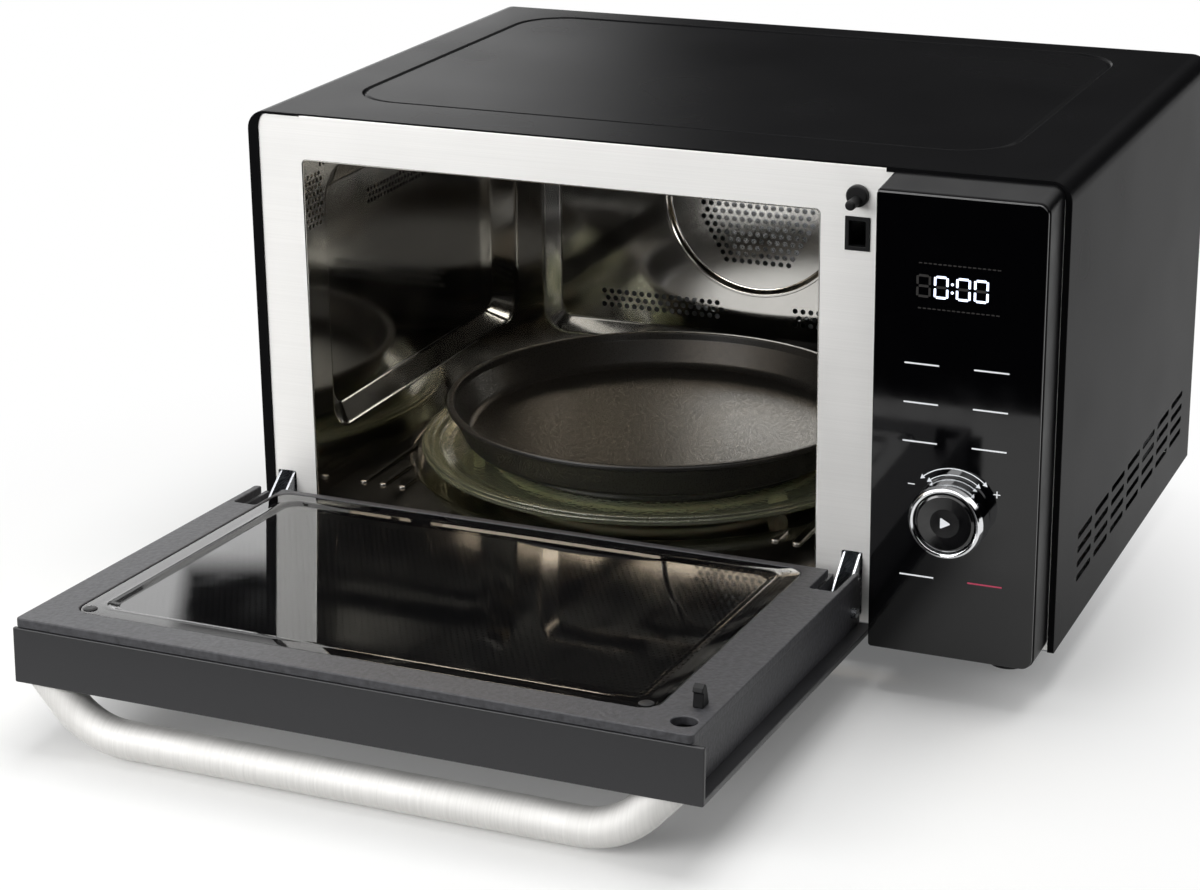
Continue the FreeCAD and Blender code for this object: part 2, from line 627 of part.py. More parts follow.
def hot_air_unit():
    front = CAV_REAR + WALL
    back = front + D.housing_depth
    owner = body("convection_housing")
    prism(owner, "XZ_Plane", (front, back), (), [(FAN_X, FAN_Z, D.housing_radius)])
    inside = (FAN_X, FAN_Z, D.housing_radius - D.housing_wall)
    inner_back = back - D.housing_wall
    prism(owner, "XZ_Plane", (front - D.cut_over, inner_back), (), [inside], remove=True)
    shaft_hole = (FAN_X, FAN_Z, D.blower_shaft_radius + D.shaft_play)
    prism(owner, "XZ_Plane", (inner_back - D.cut_over, back + D.cut_over), (), [shaft_hole], remove=True)
    keep(place(owner))
    motor_front = REAR_INNER - D.rear_wall / 2
    motor = rod("motor_can", "y", (FAN_X, FAN_Z), (back, motor_front + D.motor_length), D.motor_radius)
    bore = rod("motor_bore", "y", (FAN_X, FAN_Z), (back - D.cut_over, motor_front + D.motor_length / 2),
               D.blower_shaft_radius + D.shaft_play)
    keep(cut("convection_motor", motor, bore))
    disc_back = inner_back - D.blower_gap
    blades_front = disc_back - D.blower_disc - D.blower_depth
    owner = body("convection_fan")
    prism(owner, "XZ_Plane", (disc_back - D.blower_disc, disc_back), (), [(0, 0, D.blower_radius)])
    prism(owner, "XZ_Plane", (disc_back - D.blower_disc, motor_front + D.motor_length / 2 - D.shaft_play),
          (), [(0, 0, D.blower_shaft_radius)])
    half = D.blower_disc / 2
    prism(owner, "XZ_Plane", (blades_front, disc_back - D.blower_disc / 2),
          [rect((D.blower_radius / 2, D.blower_radius), (-half, half))])
    blade = owner.Tip
    ring = owner.newObject("PartDesign::PolarPattern", "convection_blades")
    ring.Originals = [blade]
    ring.Axis = (next(a for a in owner.Origin.OriginFeatures if a.Role == "Y_Axis"), [""])
    ring.Angle = FULL_TURN
    ring.Occurrences = BLOWER_BLADES
    owner.Tip = ring
    keep(place(owner, FAN_X, 0, FAN_Z))
    heater = doc.addObject("Part::Torus", "ring_heater_loop")
    bind(heater, "Radius1", D.ring_heater_radius)
    bind(heater, "Radius2", D.heater_rod_radius)
    settle(heater, "y", (FAN_X, FAN_Z), back - D.ring_heater_back, False)
    lead_x = FAN_X + D.ring_heater_radius
    lead = rod("ring_heater_lead", "y", (lead_x, FAN_Z), (back - D.ring_heater_back, inner_back),
               D.heater_lead_radius)
    keep(fuse("ring_heater", heater, lead))


def grill_ends():
    """Where the two ends of the grill element go up through the ceiling."""
    reach = D.grill_pitch * (GRILL_RUNS - 1) / 2
    across = MID_X + D.grill_length / 2
    return [(across, MID_Y - reach), (across, MID_Y + reach)]


def grill_element():
    """Sheathed rod bent to and fro under the ceiling, with both ends up through it."""
    level = CAV_TOP - D.grill_drop
    right = MID_X + D.grill_length / 2
    left = MID_X - D.grill_length / 2
    front = MID_Y - D.grill_pitch * (GRILL_RUNS - 1) / 2
    radius = D.heater_rod_radius
    pieces = []
    for index in range(GRILL_RUNS):
        y = front + D.grill_pitch * index
        pieces.append(rod("grill_run", "x", (y, level), (left, right), radius))
    for index in range(GRILL_RUNS - 1):
        x = right if index % 2 else left
        y = front + D.grill_pitch * index
        pieces.append(rod("grill_turn", "y", (x, level), (y, y + D.grill_pitch), radius))
        for end in (y, y + D.grill_pitch):
            ball = doc.addObject("Part::Sphere", "grill_corner")
            bind(ball, "Radius", radius)
            settle(ball, "z", (x, end), level, False)
            pieces.append(ball)
    for x, y in grill_ends():
        pieces.append(rod("grill_end", "z", (x, y), (level, CAV_TOP + WALL + D.grill_rise), radius))
        ball = doc.addObject("Part::Sphere", "grill_elbow")
        bind(ball, "Radius", radius)
        settle(ball, "z", (x, y), level, False)
        pieces.append(ball)
    keep(fuse("grill_element", *pieces))


def microwave_unit():
    inner = CAV_RIGHT + WALL
    outer = inner + D.guide_depth
    owner = body("waveguide")
    prism(owner, "YZ_Plane", (inner, outer), [rect(guide_span(0), guide_rise(0))])
    prism(owner, "YZ_Plane", (inner - D.cut_over, outer - D.guide_wall),
          [rect(guide_span(D.guide_wall), guide_rise(D.guide_wall))], remove=True)
    middle = (D.guide_front + D.guide_width / 2, D.guide_low + D.guide_height / 2)
    prism(owner, "YZ_Plane", (outer - D.guide_wall - D.cut_over, outer + D.cut_over), (),
          [(*middle, D.antenna_radius + D.antenna_play)], remove=True)
    keep(place(owner))
    mica_inset = D.port_margin - D.mica_margin
    keep(box("mica_cover", (CAV_RIGHT - D.mica_thickness, CAV_RIGHT), guide_span(mica_inset),
             guide_rise(mica_inset)))
    owner = body("magnetron")
    depth = about(middle[0], D.tube_width / 2)
    height = about(middle[1], D.tube_height / 2)
    prism(owner, "YZ_Plane", (outer, outer + D.tube_depth), [rect(depth, height)])
    fins = []
    for index in range(-FIN_GAP_REACH, FIN_GAP_REACH + 1):
        x = outer + D.tube_depth / 2 + D.fin_pitch * index
        fins.append(rect(about(x, D.fin_gap / 2), (height[0] + D.fin_pitch, height[1] - D.fin_pitch)))
    prism(owner, "XZ_Plane", (depth[0] - D.fin_gap, depth[1] + D.fin_gap), fins, remove=True)
    prism(owner, "YZ_Plane", (outer - D.antenna_length, outer + D.fin_gap), (), [(*middle, D.antenna_radius)])
    keep(place(owner))


def transformer():
    """Laminated core with two windows, and the winding round its middle limb."""
    right = HALF - D.wrapper_wall - D.port_margin
    across = (right - D.core_width, right)
    back = D.cabinet_depth - D.core_rear_gap
    depth = (back - D.core_depth, back)
    upward = (D.base_wall, D.base_wall + D.core_height)
    middle = (across[0] + across[1]) / 2
    limb = D.core_limb
    inner = (upward[0] + limb, upward[1] - limb)
    owner = body("transformer_core")
    windows = [rect((across[0] + limb, middle - limb), inner), rect((middle + limb, across[1] - limb), inner)]
    prism(owner, "XZ_Plane", depth, [rect(across, upward)] + windows)
    keep(place(owner))
    play = D.winding_play
    coil = box("winding_block", (across[0] + limb + play, across[1] - limb - play),
               (depth[0] - D.winding_proud, depth[1] + D.winding_proud), (inner[0] + play, inner[1] - play))
    bore = box("winding_bore", about(middle, limb + play), (depth[0] - play, depth[1] + play),
               (inner[0] - limb, inner[1] + limb))
    keep(cut("transformer_winding", coil, bore))


def cooling_fan():
    middle = fan_centre()
    across = about(middle[0], D.shroud_side / 2)
    upward = about(middle[1], D.shroud_side / 2)
    depth = (REAR_INNER - D.shroud_depth, REAR_INNER)
    frame = box("shroud_frame", across, depth, upward)
    bore = rod("shroud_bore_cut", "y", middle, (depth[0] - D.cut_over, depth[1] + D.cut_over),
               D.shroud_bore)
    keep(cut("fan_shroud", frame, bore))
    arm_back = depth[0]
    arm_front = arm_back - D.fan_arm_wall
    arm = box("fan_arm", across, (arm_front, arm_back), about(middle[1], D.fan_arm_width / 2))
    can = rod("fan_motor_can", "y", middle, (arm_back - D.fan_motor_length, arm_back), D.fan_motor_radius)
    pin = rod("fan_motor_pin", "y", middle, (arm_front, arm_back + D.fan_depth), D.fan_pin_radius)
    keep(fuse("cooling_fan_motor", arm, can, pin))
    front = arm_back + D.shaft_play * 2
    hub = rod("fan_hub_can", "y", middle, (front, front + D.fan_depth), D.fan_hub)
    hub_bore = rod("fan_hub_bore", "y", middle, (front - D.cut_over, front + D.fan_depth),
                   D.fan_pin_radius + D.shaft_play)
    centre_y = FRAME_Y + front + D.fan_depth / 2
    centre = Vector(middle[0].number, centre_y.number, (FRAME_Z + middle[1]).number)
    corner = Vector(D.fan_hub.number / 2, -D.fan_depth.number / 2, -D.fan_blade.number / 2)
    twist = Rotation(Vector(1, 0, 0), D.fan_twist.number)
    blades = []
    for index in range(FAN_BLADES):
        blade = doc.addObject("Part::Box", "fan_vane")
        reach = D.fan_radius - D.fan_hub / 2
        bind(blade, "Length", reach)
        bind(blade, "Width", D.fan_depth)
        bind(blade, "Height", D.fan_blade)
        turn = Rotation(Vector(0, 1, 0), FULL_TURN * index / FAN_BLADES).multiply(twist)
        blade.Placement = FreeCAD.Placement(centre + turn.multVec(corner), turn)
        blades.append(blade)
    keep(cut("cooling_fan", fuse("fan_blank", hub, *blades), hub_bore))


def mains_inlet():
    """Gland in the rear panel where the supply lead goes in."""
    across = (HALF - D.gland_inset, D.gland_height)
    front = REAR_INNER - D.gland_nut_wall
    back = REAR_FACE + D.gland_flange_wall
    barrel = rod("gland_barrel", "y", across, (front, back), D.gland_radius)
    flange = rod("gland_collar", "y", across, (REAR_FACE, back), D.gland_flange)
    nut = rod("gland_nut", "y", across, (front, REAR_INNER), D.gland_flange)
    bore = rod("gland_bore_cut", "y", across, (front - D.cut_over, back + D.cut_over), D.gland_bore)
    keep(cut("cord_gland", fuse("gland_blank", barrel, flange, nut), bore))


def turntable():
    middle = (MID_X, MID_Y)
    floor_under = WELL_LOW - WALL
    can = rod("drive_can", "z", middle, (D.base_wall / 2, floor_under), D.drive_motor_radius)
    shaft_top = floor_under + D.drive_shaft_length
    shaft = rod("drive_shaft", "z", middle, (floor_under, shaft_top), D.drive_shaft_radius)
    keep(fuse("turntable_motor", can, shaft))
    lobe_top = TRAY_LOW + D.lobe_sink
    lobe_low = WELL_LOW + D.drive_play * 2
    hub = rod("coupling_hub", "z", middle, (lobe_low, lobe_top), D.coupling_radius)
    lobes = drive_lobes("coupling_lobe", (TRAY_LOW - D.lobe_sink * 2, lobe_top), 0)
    bore = rod("coupling_bore", "z", middle, (lobe_low - D.cut_over, shaft_top + D.drive_play),
               D.drive_shaft_radius + D.drive_play)
    keep(cut("turntable_coupling", fuse("coupling_blank", hub, *lobes), bore))
    owner = body("glass_tray_turned")
    rim = TRAY_LOW + D.tray_rise
    wall = D.tray_wall
    lathe(owner, "XZ_Plane", [(0, TRAY_LOW), (TRAY_FLAT, TRAY_LOW), (TRAY_RADIUS, rim - wall),
                              (TRAY_RADIUS, rim), (TRAY_RADIUS - wall, rim), (TRAY_FLAT - wall / 2, TRAY_TOP),
                              (0, TRAY_TOP)])
    place(owner, MID_X, MID_Y, 0)
    sunk = (TRAY_LOW - D.cut_over, lobe_top + D.drive_play)
    socket = rod("tray_socket", "z", middle, sunk, D.coupling_radius + D.drive_play)
    slots = drive_lobes("tray_slot", sunk, D.drive_play)
    keep(cut("glass_tray", owner, socket, *slots))
    roller_ring()
    crisp_pan()


def drive_lobes(name, upward, grow):
    """Three arms of the drive coupling, or the slots that take them."""
    arms = []
    for index in range(DRIVE_LOBES):
        arm = doc.addObject("Part::Box", name)
        bind(arm, "Length", D.lobe_reach + grow)
        bind(arm, "Width", D.lobe_width + size(grow) * 2)
        bind(arm, "Height", upward[1] - upward[0])
        turn = Rotation(Vector(0, 0, 1), FULL_TURN * index / DRIVE_LOBES)
        half = D.lobe_width.number / 2 + size(grow).number
        centre = Vector(MID_X.number, (FRAME_Y + MID_Y).number, (FRAME_Z + upward[0]).number)
        arm.Placement = FreeCAD.Placement(centre + turn.multVec(Vector(0, -half, 0)), turn)
        arms.append(arm)
    return arms


def roller_ring():
    """Ring that carries three rollers on radial axles."""
    middle = (MID_X, MID_Y)
    upward = about(ROLLER_Z, D.ring_wall / 2)
    outer = RING_INNER + D.ring_width
    hoop = rod("ring_disc", "z", middle, upward, outer)
    hole = rod("ring_hole", "z", middle, (upward[0] - D.cut_over, upward[1] + D.cut_over), RING_INNER)
    axles = []
    wheels = []
    centre = Vector(MID_X.number, (FRAME_Y + MID_Y).number, (FRAME_Z + ROLLER_Z).number)
    inner_face = ROLLER_TRACK - D.roller_width / 2
    axle_start = RING_INNER + D.ring_width / 2
    for index in range(ROLLERS):
        bearing = FULL_TURN / 4 + FULL_TURN * index / ROLLERS
        turn = Rotation(Vector(0, 0, 1), bearing).multiply(TURN["x"])
        outward = turn.multVec(Vector(0, 0, 1))
        axle = doc.addObject("Part::Cylinder", "ring_axle")
        bind(axle, "Radius", D.axle_radius)
        bind(axle, "Height", inner_face + D.roller_width - axle_start)
        axle.Placement = FreeCAD.Placement(centre + outward * axle_start.number, turn)
        axles.append(axle)
        wheel = doc.addObject("Part::Cylinder", "roller_disc")
        bind(wheel, "Radius", D.roller_radius)
        bind(wheel, "Height", D.roller_width)
        bore = doc.addObject("Part::Cylinder", "roller_bore")
        bind(bore, "Radius", D.axle_radius + D.pin_play)
        bind(bore, "Height", D.roller_width + D.cut_over * 2)
        wheel.Placement = FreeCAD.Placement(centre + outward * inner_face.number, turn)
        bore.Placement = FreeCAD.Placement(centre + outward * (inner_face - D.cut_over).number, turn)
        wheels.append(cut("roller_%d" % (index + 1), wheel, bore))
    keep(fuse("roller_ring", cut("ring_hoop", hoop, hole), *axles))
    for wheel in wheels:
        keep(wheel)


def crisp_pan():
    """Shallow browning pan that stands on the glass tray on a foot ring."""
    owner = body("crisp_pan")
    rim_radius = TRAY_RADIUS - D.pan_inset
    base_radius = rim_radius - D.pan_taper
    low = TRAY_TOP + D.pan_foot
    top = TRAY_TOP + D.pan_height
    foot_out = base_radius - D.pan_foot_inset
    foot = foot_out - D.pan_foot_width
    wall = D.pan_wall
    lathe(owner, "XZ_Plane", [(0, low), (foot, low), (foot, TRAY_TOP), (foot_out, TRAY_TOP), (foot_out, low),
                              (base_radius, low), (rim_radius, top), (rim_radius - wall, top),
                              (base_radius - wall, low + wall), (0, low + wall)])
    keep(place(owner, MID_X, MID_Y, 0))


def door_lock():
    base = rod("stud_base", "y", (CATCH_X, STUD_Z), (-D.stud_base_length, size(0)), D.stud_base_radius)
    pin = rod("stud_pin", "y", (CATCH_X, STUD_Z - D.stud_pin_drop), (-D.stud_length, size(0)),
              D.stud_pin_radius)
    screw = rod("stud_screw", "y", (CATCH_X, STUD_Z), (-D.stud_screw_length / 2, D.stud_screw_length),
                D.stud_screw_radius)
    keep(fuse("catch_stud", base, pin, screw))
    lip = box("bezel_lip_plate", about(CATCH_X, D.lock_width / 2 + D.bezel_lip),
              (-D.bezel_lip, size(0)), about(LOCK_Z, D.lock_height / 2 + D.bezel_lip))
    sleeve = box("bezel_sleeve", about(CATCH_X, D.lock_width / 2 - D.bezel_play),
                 (-D.bezel_lip, D.bezel_depth), about(LOCK_Z, D.lock_height / 2 - D.bezel_play))
    hole = box("bezel_hole", about(CATCH_X, D.lock_width / 2 - D.bezel_wall),
               (-D.bezel_lip * 2, D.bezel_depth * 2), about(LOCK_Z, D.lock_height / 2 - D.bezel_wall))
    keep(cut("interlock_bezel", fuse("bezel_blank", lip, sleeve), hole))
    upward = about(LOCK_Z + D.bracket_wall * 2, D.bracket_height / 2)
    back = box("bracket_back", about(CATCH_X, D.bracket_width / 2), (WALL, WALL + D.bracket_wall), upward)
    side_x = CATCH_X + D.bracket_width / 2
    side_back = WALL + D.bracket_depth + D.switch_back
    side = box("bracket_side", (side_x - D.bracket_wall, side_x), (WALL, side_back), upward)
    window = box("bracket_window", about(CATCH_X, D.lock_width / 2), (WALL / 2, WALL * 2 + D.bracket_wall),
                 about(LOCK_Z, D.lock_height / 2))
    stud_port = rod("bracket_port", "y", (CATCH_X, STUD_Z), (WALL / 2, WALL + D.bracket_wall * 2),
                    D.stud_screw_radius + D.sheet_gap)
    keep(cut("interlock_bracket", fuse("bracket_blank", back, side), window, stud_port))
    switch_right = side_x - D.bracket_wall
    keep(box("door_switch", (switch_right - D.switch_width, switch_right),
             (D.switch_back, D.switch_back + D.switch_length), about(LOCK_Z, D.switch_height / 2)))


def hinges():
    """Fixed hinge brackets that reach out through the front plate, and the door's pins."""
    for side, middle in HINGE_X.items():
        owner = body("hinge_bracket_" + side)
        ear_front = HINGE_Y - D.ear_reach
        slot = (D.slot_low + D.slot_play, D.slot_top - D.slot_play)
        cheek = [(WALL, D.cheek_low), (D.cheek_back, D.cheek_low), (D.cheek_back, D.cheek_top),
                 (WALL, D.cheek_top), (WALL, slot[1]), (size(0), slot[1]),
                 (HINGE_Y, HINGE_Z + D.ear_rise), (ear_front, HINGE_Z + D.ear_reach / 2),
                 (ear_front, HINGE_Z - D.ear_reach / 2), (HINGE_Y, HINGE_Z - D.ear_rise),
                 (size(0), slot[0]), (WALL, slot[0])]
        pin_hole = (HINGE_Y, HINGE_Z, D.pin_radius + D.pin_play)
        inner = D.cheek_half - D.cheek_wall
        prism(owner, "YZ_Plane", (-D.cheek_half, -inner), [cheek], [pin_hole])
        web = rect((D.cheek_back - D.cheek_wall, D.cheek_back), (D.cheek_low, D.cheek_top))
        prism(owner, "YZ_Plane", (-D.cheek_half, D.cheek_half), [web])
        prism(owner, "YZ_Plane", (inner, D.cheek_half), [cheek], [pin_hole])
        keep(place(owner, middle, 0, 0))
        owner = body("hinge_pin_" + side)
        prism(owner, "YZ_Plane", about(middle, D.pin_half), (), [(0, 0, D.pin_radius)])
        keep(hang(owner))


def hinge_notches():
    """Outlines, seen from the front, of the door's notches round the hinge brackets."""
    upward = (DOOR_LOW - D.cut_over, D.notch_rise)
    return [rect(about(middle, D.notch_half), upward) for middle in HINGE_X.values()]


def door_tub():
    """Hollow door body round the window."""
    owner = body("door_body")
    outer = rect((TUB_LEFT, TUB_RIGHT), (DOOR_LOW, TUB_TOP))
    window = rect((WIN_LEFT, WIN_RIGHT), (WIN_LOW, WIN_TOP))
    prism(owner, "XZ_Plane", (TUB_OUT, TUB_IN), [outer, window])
    wall = D.tub_wall
    block = D.hinge_block
    hollow = [(TUB_LEFT + wall, block), (TUB_LEFT + wall, TUB_TOP - wall),
              (TUB_RIGHT - wall, TUB_TOP - wall), (TUB_RIGHT - wall, block),
              (WIN_RIGHT + wall, block), (WIN_RIGHT + wall, WIN_TOP + wall),
              (WIN_LEFT - wall, WIN_TOP + wall), (WIN_LEFT - wall, block)]
    trough = rect((WIN_LEFT, WIN_RIGHT), (DOOR_LOW + wall, WIN_LOW - wall))
    prism(owner, "XZ_Plane", (TUB_OUT + wall, TUB_IN + wall), [hollow, trough], remove=True)
    prism(owner, "XZ_Plane", (TUB_OUT - wall, TUB_IN + wall), hinge_notches(), remove=True)
    pin_holes = [(0, 0, D.pin_radius + D.glass_play)]
    for middle in HINGE_X.values():
        prism(owner, "YZ_Plane", about(middle, D.pin_half + D.glass_play), (), pin_holes, remove=True)
    keep(hang(owner))


def door_inner_frame():
    """Inner frame that faces the cavity and carries the inner glass and the latch hook."""
    owner = body("door_inner_frame")
    outer = rect((FRAME_LEFT, FRAME_RIGHT), (-D.frame_below, FRAME_TOP))
    window = rect((WIN_LEFT, WIN_RIGHT), (WIN_LOW, WIN_TOP))
    catch = (CATCH_X, STUD_Z - HINGE_Z, D.catch_hole_radius)
    prism(owner, "XZ_Plane", (FRAME_OUT, FRAME_IN), [outer, window], [catch])
    left, right, low, top = glass_edges()
    play = D.glass_play
    seat = rect((left - play, right + play), (low - play, top + play))
    through = FRAME_IN + D.cut_over
    prism(owner, "XZ_Plane", (FRAME_IN - D.inner_glass_wall, through), [seat], remove=True)
    prism(owner, "XZ_Plane", (FRAME_OUT - D.cut_over, through), hinge_notches(), remove=True)
    keep(hang(owner))


def glass_edges():
    """Left, right, low and top edges of the inner glass."""
    return (FRAME_LEFT + D.inner_glass_left, SKIN_RIGHT - D.inner_glass_right, D.inner_glass_low,
            DOOR_TOP - D.inner_glass_high)


def door_panes():
    left, right, low, top = glass_edges()
    owner = body("door_inner_glass")
    prism(owner, "XZ_Plane", (FRAME_IN - D.inner_glass_wall, FRAME_IN), [rect((left, right), (low, top))])
    keep(hang(owner))
    owner = body("door_mesh")
    margin = D.mesh_margin
    prism(owner, "XZ_Plane", (MESH_OUT, MESH_IN),
          [rect((WIN_LEFT - margin, WIN_RIGHT + margin), (WIN_LOW - margin, WIN_TOP + margin))])
    keep(hang(owner))


def door_skin():
    """Outer skin with a folded top edge, and the front window in it."""
    margin = D.front_glass_margin
    hole = rect((WIN_LEFT + margin, WIN_RIGHT - margin), (WIN_LOW + margin, WIN_TOP - margin))
    owner = body("door_skin")
    prism(owner, "XZ_Plane", (SKIN_OUT, SKIN_IN), [rect((SKIN_LEFT, SKIN_RIGHT), (DOOR_LOW, DOOR_TOP)), hole])
    lip = rect((SKIN_LEFT, SKIN_RIGHT), (DOOR_TOP - D.skin_lip, DOOR_TOP))
    prism(owner, "XZ_Plane", (SKIN_OUT, FRAME_OUT - D.layer_gap), [lip])
    keep(hang(owner))
    owner = body("door_outer_glass")
    inset = margin + D.glass_play
    pane = rect((WIN_LEFT + inset, WIN_RIGHT - inset), (WIN_LOW + inset, WIN_TOP - inset))
    prism(owner, "XZ_Plane", (SKIN_OUT, SKIN_IN), [pane])
    keep(hang(owner))


def latch_hook():
    level = LOCK_Z - HINGE_Z
    tip = FRAME_IN + D.hook_reach
    half_width = D.hook_width / 2
    half_height = D.hook_height / 2
    margin = D.hook_foot_margin
    foot = box("hook_foot", about(CATCH_X, half_width + margin), (FRAME_IN, FRAME_IN + D.hook_foot_wall),
               about(level, half_height + margin), local=True)
    arm = box("hook_arm", about(CATCH_X, half_width), (FRAME_IN, tip),
              about(level, half_height - D.hook_lip / 2), local=True)
    lip = box("hook_tip_block", about(CATCH_X, half_width), (tip - D.hook_tip, tip),
              about(level, half_height), local=True)
    keep(hang(fuse("latch_hook", foot, arm, lip)))


def handle():
    """Bent tube across the front of the door: a bar, two bends and two legs that spread towards the door."""
    level = DOOR_TOP - D.handle_drop
    bend = D.handle_bend
    bar_out = SKIN_OUT - D.handle_standoff
    radius = D.handle_radius
    bend_in = bar_out + bend * (1 - LEG_RUN)
    leg = (SKIN_OUT - bend_in) / LEG_RISE
    spread = bend * LEG_RISE + leg * LEG_RUN
    left = SKIN_LEFT + D.handle_left + spread
    right = SKIN_RIGHT - D.handle_right - spread
    pieces = [rod("handle_bar", "x", (bar_out, level), (left, right), radius, local=True)]
    mirrored = Rotation(Vector(1, -1, 0), FULL_TURN / 2)
    for side, middle, sweep in ((-1, left, mirrored), (1, right, Rotation(Vector(0, 0, 1), -FULL_TURN / 4))):
        turn = doc.addObject("Part::Torus", "handle_turn")
        bind(turn, "Radius1", bend)
        bind(turn, "Radius2", radius)
        turn.Angle3 = LEG_LEAN
        post = doc.addObject("Part::Cylinder", "handle_leg")
        bind(post, "Radius", radius)
        bind(post, "Height", leg + radius * LEG_RUN / LEG_RISE)
        lean = Rotation(Vector(0, 0, 1), side * (LEG_LEAN - FULL_TURN / 4)).multiply(TURN["y"])
        for item, turned, x, y in ((turn, sweep, middle, bar_out + bend),
                                   (post, lean, middle + side * bend * LEG_RISE, bend_in)):
            item.Placement = FreeCAD.Placement(Vector(), turned)
            for letter, value in zip("xyz", (x, y, level)):
                bind(item, "Placement.Base." + letter, value)
            pieces.append(item)
    behind = box("handle_trim", (SKIN_LEFT - bend, SKIN_RIGHT + bend), (SKIN_OUT, SKIN_OUT + bend),
                 about(level, bend), local=True)
    keep(hang(cut("handle_tube", fuse("handle_line", *pieces), behind)))


def control_panel():
    owner = body("panel_frame")
    back = -D.panel_back
    low = D.panel_low
    side = [(PANEL_FACE, low), (PANEL_FACE, PANEL_TOP), (back, PANEL_TOP + D.panel_bevel), (back, low)]
    prism(owner, "YZ_Plane", (PANEL_LEFT, PANEL_RIGHT), [side])
    wall = D.panel_wall
    hollow = rect((PANEL_LEFT + wall, PANEL_RIGHT - wall), (low + wall, PANEL_TOP - wall))
    prism(owner, "XZ_Plane", (PANEL_INSIDE, back + wall), [hollow], remove=True)
    neck = (DIAL_X, D.dial_height, D.dial_neck + D.neck_play)
    prism(owner, "XZ_Plane", (PANEL_FACE - D.cut_over, PANEL_INSIDE + D.cut_over), (), [neck], remove=True)
    keep(place(owner))
    owner = body("panel_glass")
    inset = D.glass_inset
    pane = rect((PANEL_LEFT + inset, PANEL_RIGHT - inset), (low + inset, PANEL_TOP - inset))
    prism(owner, "XZ_Plane", (GLASS_FACE, PANEL_FACE), [pane], [neck])
    keep(place(owner))
    middle = (PANEL_LEFT + PANEL_RIGHT) / 2
    front = PANEL_INSIDE
    keep(box("display_module", about(middle, D.display_width / 2), (front, front + D.display_depth),
             (PANEL_TOP - D.display_drop, PANEL_TOP - D.display_drop + D.display_height)))
    block = box("encoder_block", about(DIAL_X, D.encoder_side / 2), (front, front + D.encoder_depth),
                about(D.dial_height, D.encoder_side / 2))
    bore = rod("encoder_bore", "y", (DIAL_X, D.dial_height), (front - D.cut_over, front + D.bore_depth),
               D.stem_radius + D.stem_play * 2)
    keep(cut("dial_encoder", block, bore))
    board_front = front + D.display_depth
    margin = D.board_margin
    keep(box("control_board", (PANEL_LEFT + margin, PANEL_RIGHT - margin),
             (board_front, board_front + D.board_wall), (D.board_low, PANEL_TOP - D.board_top_gap)))


def dial():
    """Turning ring of the selector and the push cap in its middle."""
    back = GLASS_FACE - D.dial_lift
    front = GLASS_FACE - D.dial_proud
    bore = D.cap_radius + D.cap_play
    hole = D.stem_radius + D.stem_play
    owner = body("dial_ring")
    neck_end = PANEL_INSIDE - D.seat_gap
    web = back - D.dial_back
    lathe(owner, "XY_Plane", [(hole, neck_end), (D.dial_neck, neck_end), (D.dial_neck, back),
                              (D.dial_radius, back), (D.dial_radius, front), (bore, front),
                              (bore, web), (hole, web)])
    keep(place(owner, DIAL_X, 0, D.dial_height))
    owner = body("start_button")
    face = front + D.cap_sink
    stem_end = PANEL_INSIDE + D.stem_depth
    lathe(owner, "XY_Plane", [(0, face), (D.cap_radius, face), (D.cap_radius, face + D.cap_wall),
                              (D.stem_radius, face + D.cap_wall), (D.stem_radius, stem_end), (0, stem_end)])
    keep(place(owner, DIAL_X, 0, D.dial_height))


wrapper()
base_and_feet()
rear_panel()
rear_cover()
front_plate()
side_wall()
cavity_ends()
cavity_floor()
hot_air_unit()
grill_element()
microwave_unit()
transformer()
cooling_fan()
mains_inlet()
turntable()
door_lock()
hinges()
door_tub()
door_inner_frame()
door_panes()
door_skin()
latch_hook()
handle()
control_panel()
dial()
doc.recompute()

for item in doc.Objects:
    bad = [state for state in item.State if state in ("Invalid", "Error")]
    if bad:
        raise SystemExit("%s failed to build: %s" % (item.Name, bad))
    if item.TypeId == "PartDesign::Pocket" and item.Shape.Volume >= item.BaseFeature.Shape.Volume - 0.001:
        raise SystemExit("%s removes nothing" % item.Name)
for item in nodes:
    if item.Shape.isNull() or not item.Shape.isValid() or len(item.Shape.Solids) != 1:
        raise SystemExit("%s is not one valid solid" % item.Label)

os.makedirs("parts", exist_ok=True)
for item in nodes:
    item.Shape.exportStep("parts/%s.step" % item.Label)
print("%d sub-parts" % len(nodes))
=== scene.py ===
"""Looks of a combination microwave oven with its door let down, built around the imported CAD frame.

The scene is in metres, +Z up, front -Y. Cabinet pieces are drawn in millimetres from the front plate's face
and the cabinet's underside. Door pieces are drawn in millimetres from the hinge axis, with the door shut.
"""
import json
import math

import bmesh
import bpy
from mathutils import Matrix, Vector

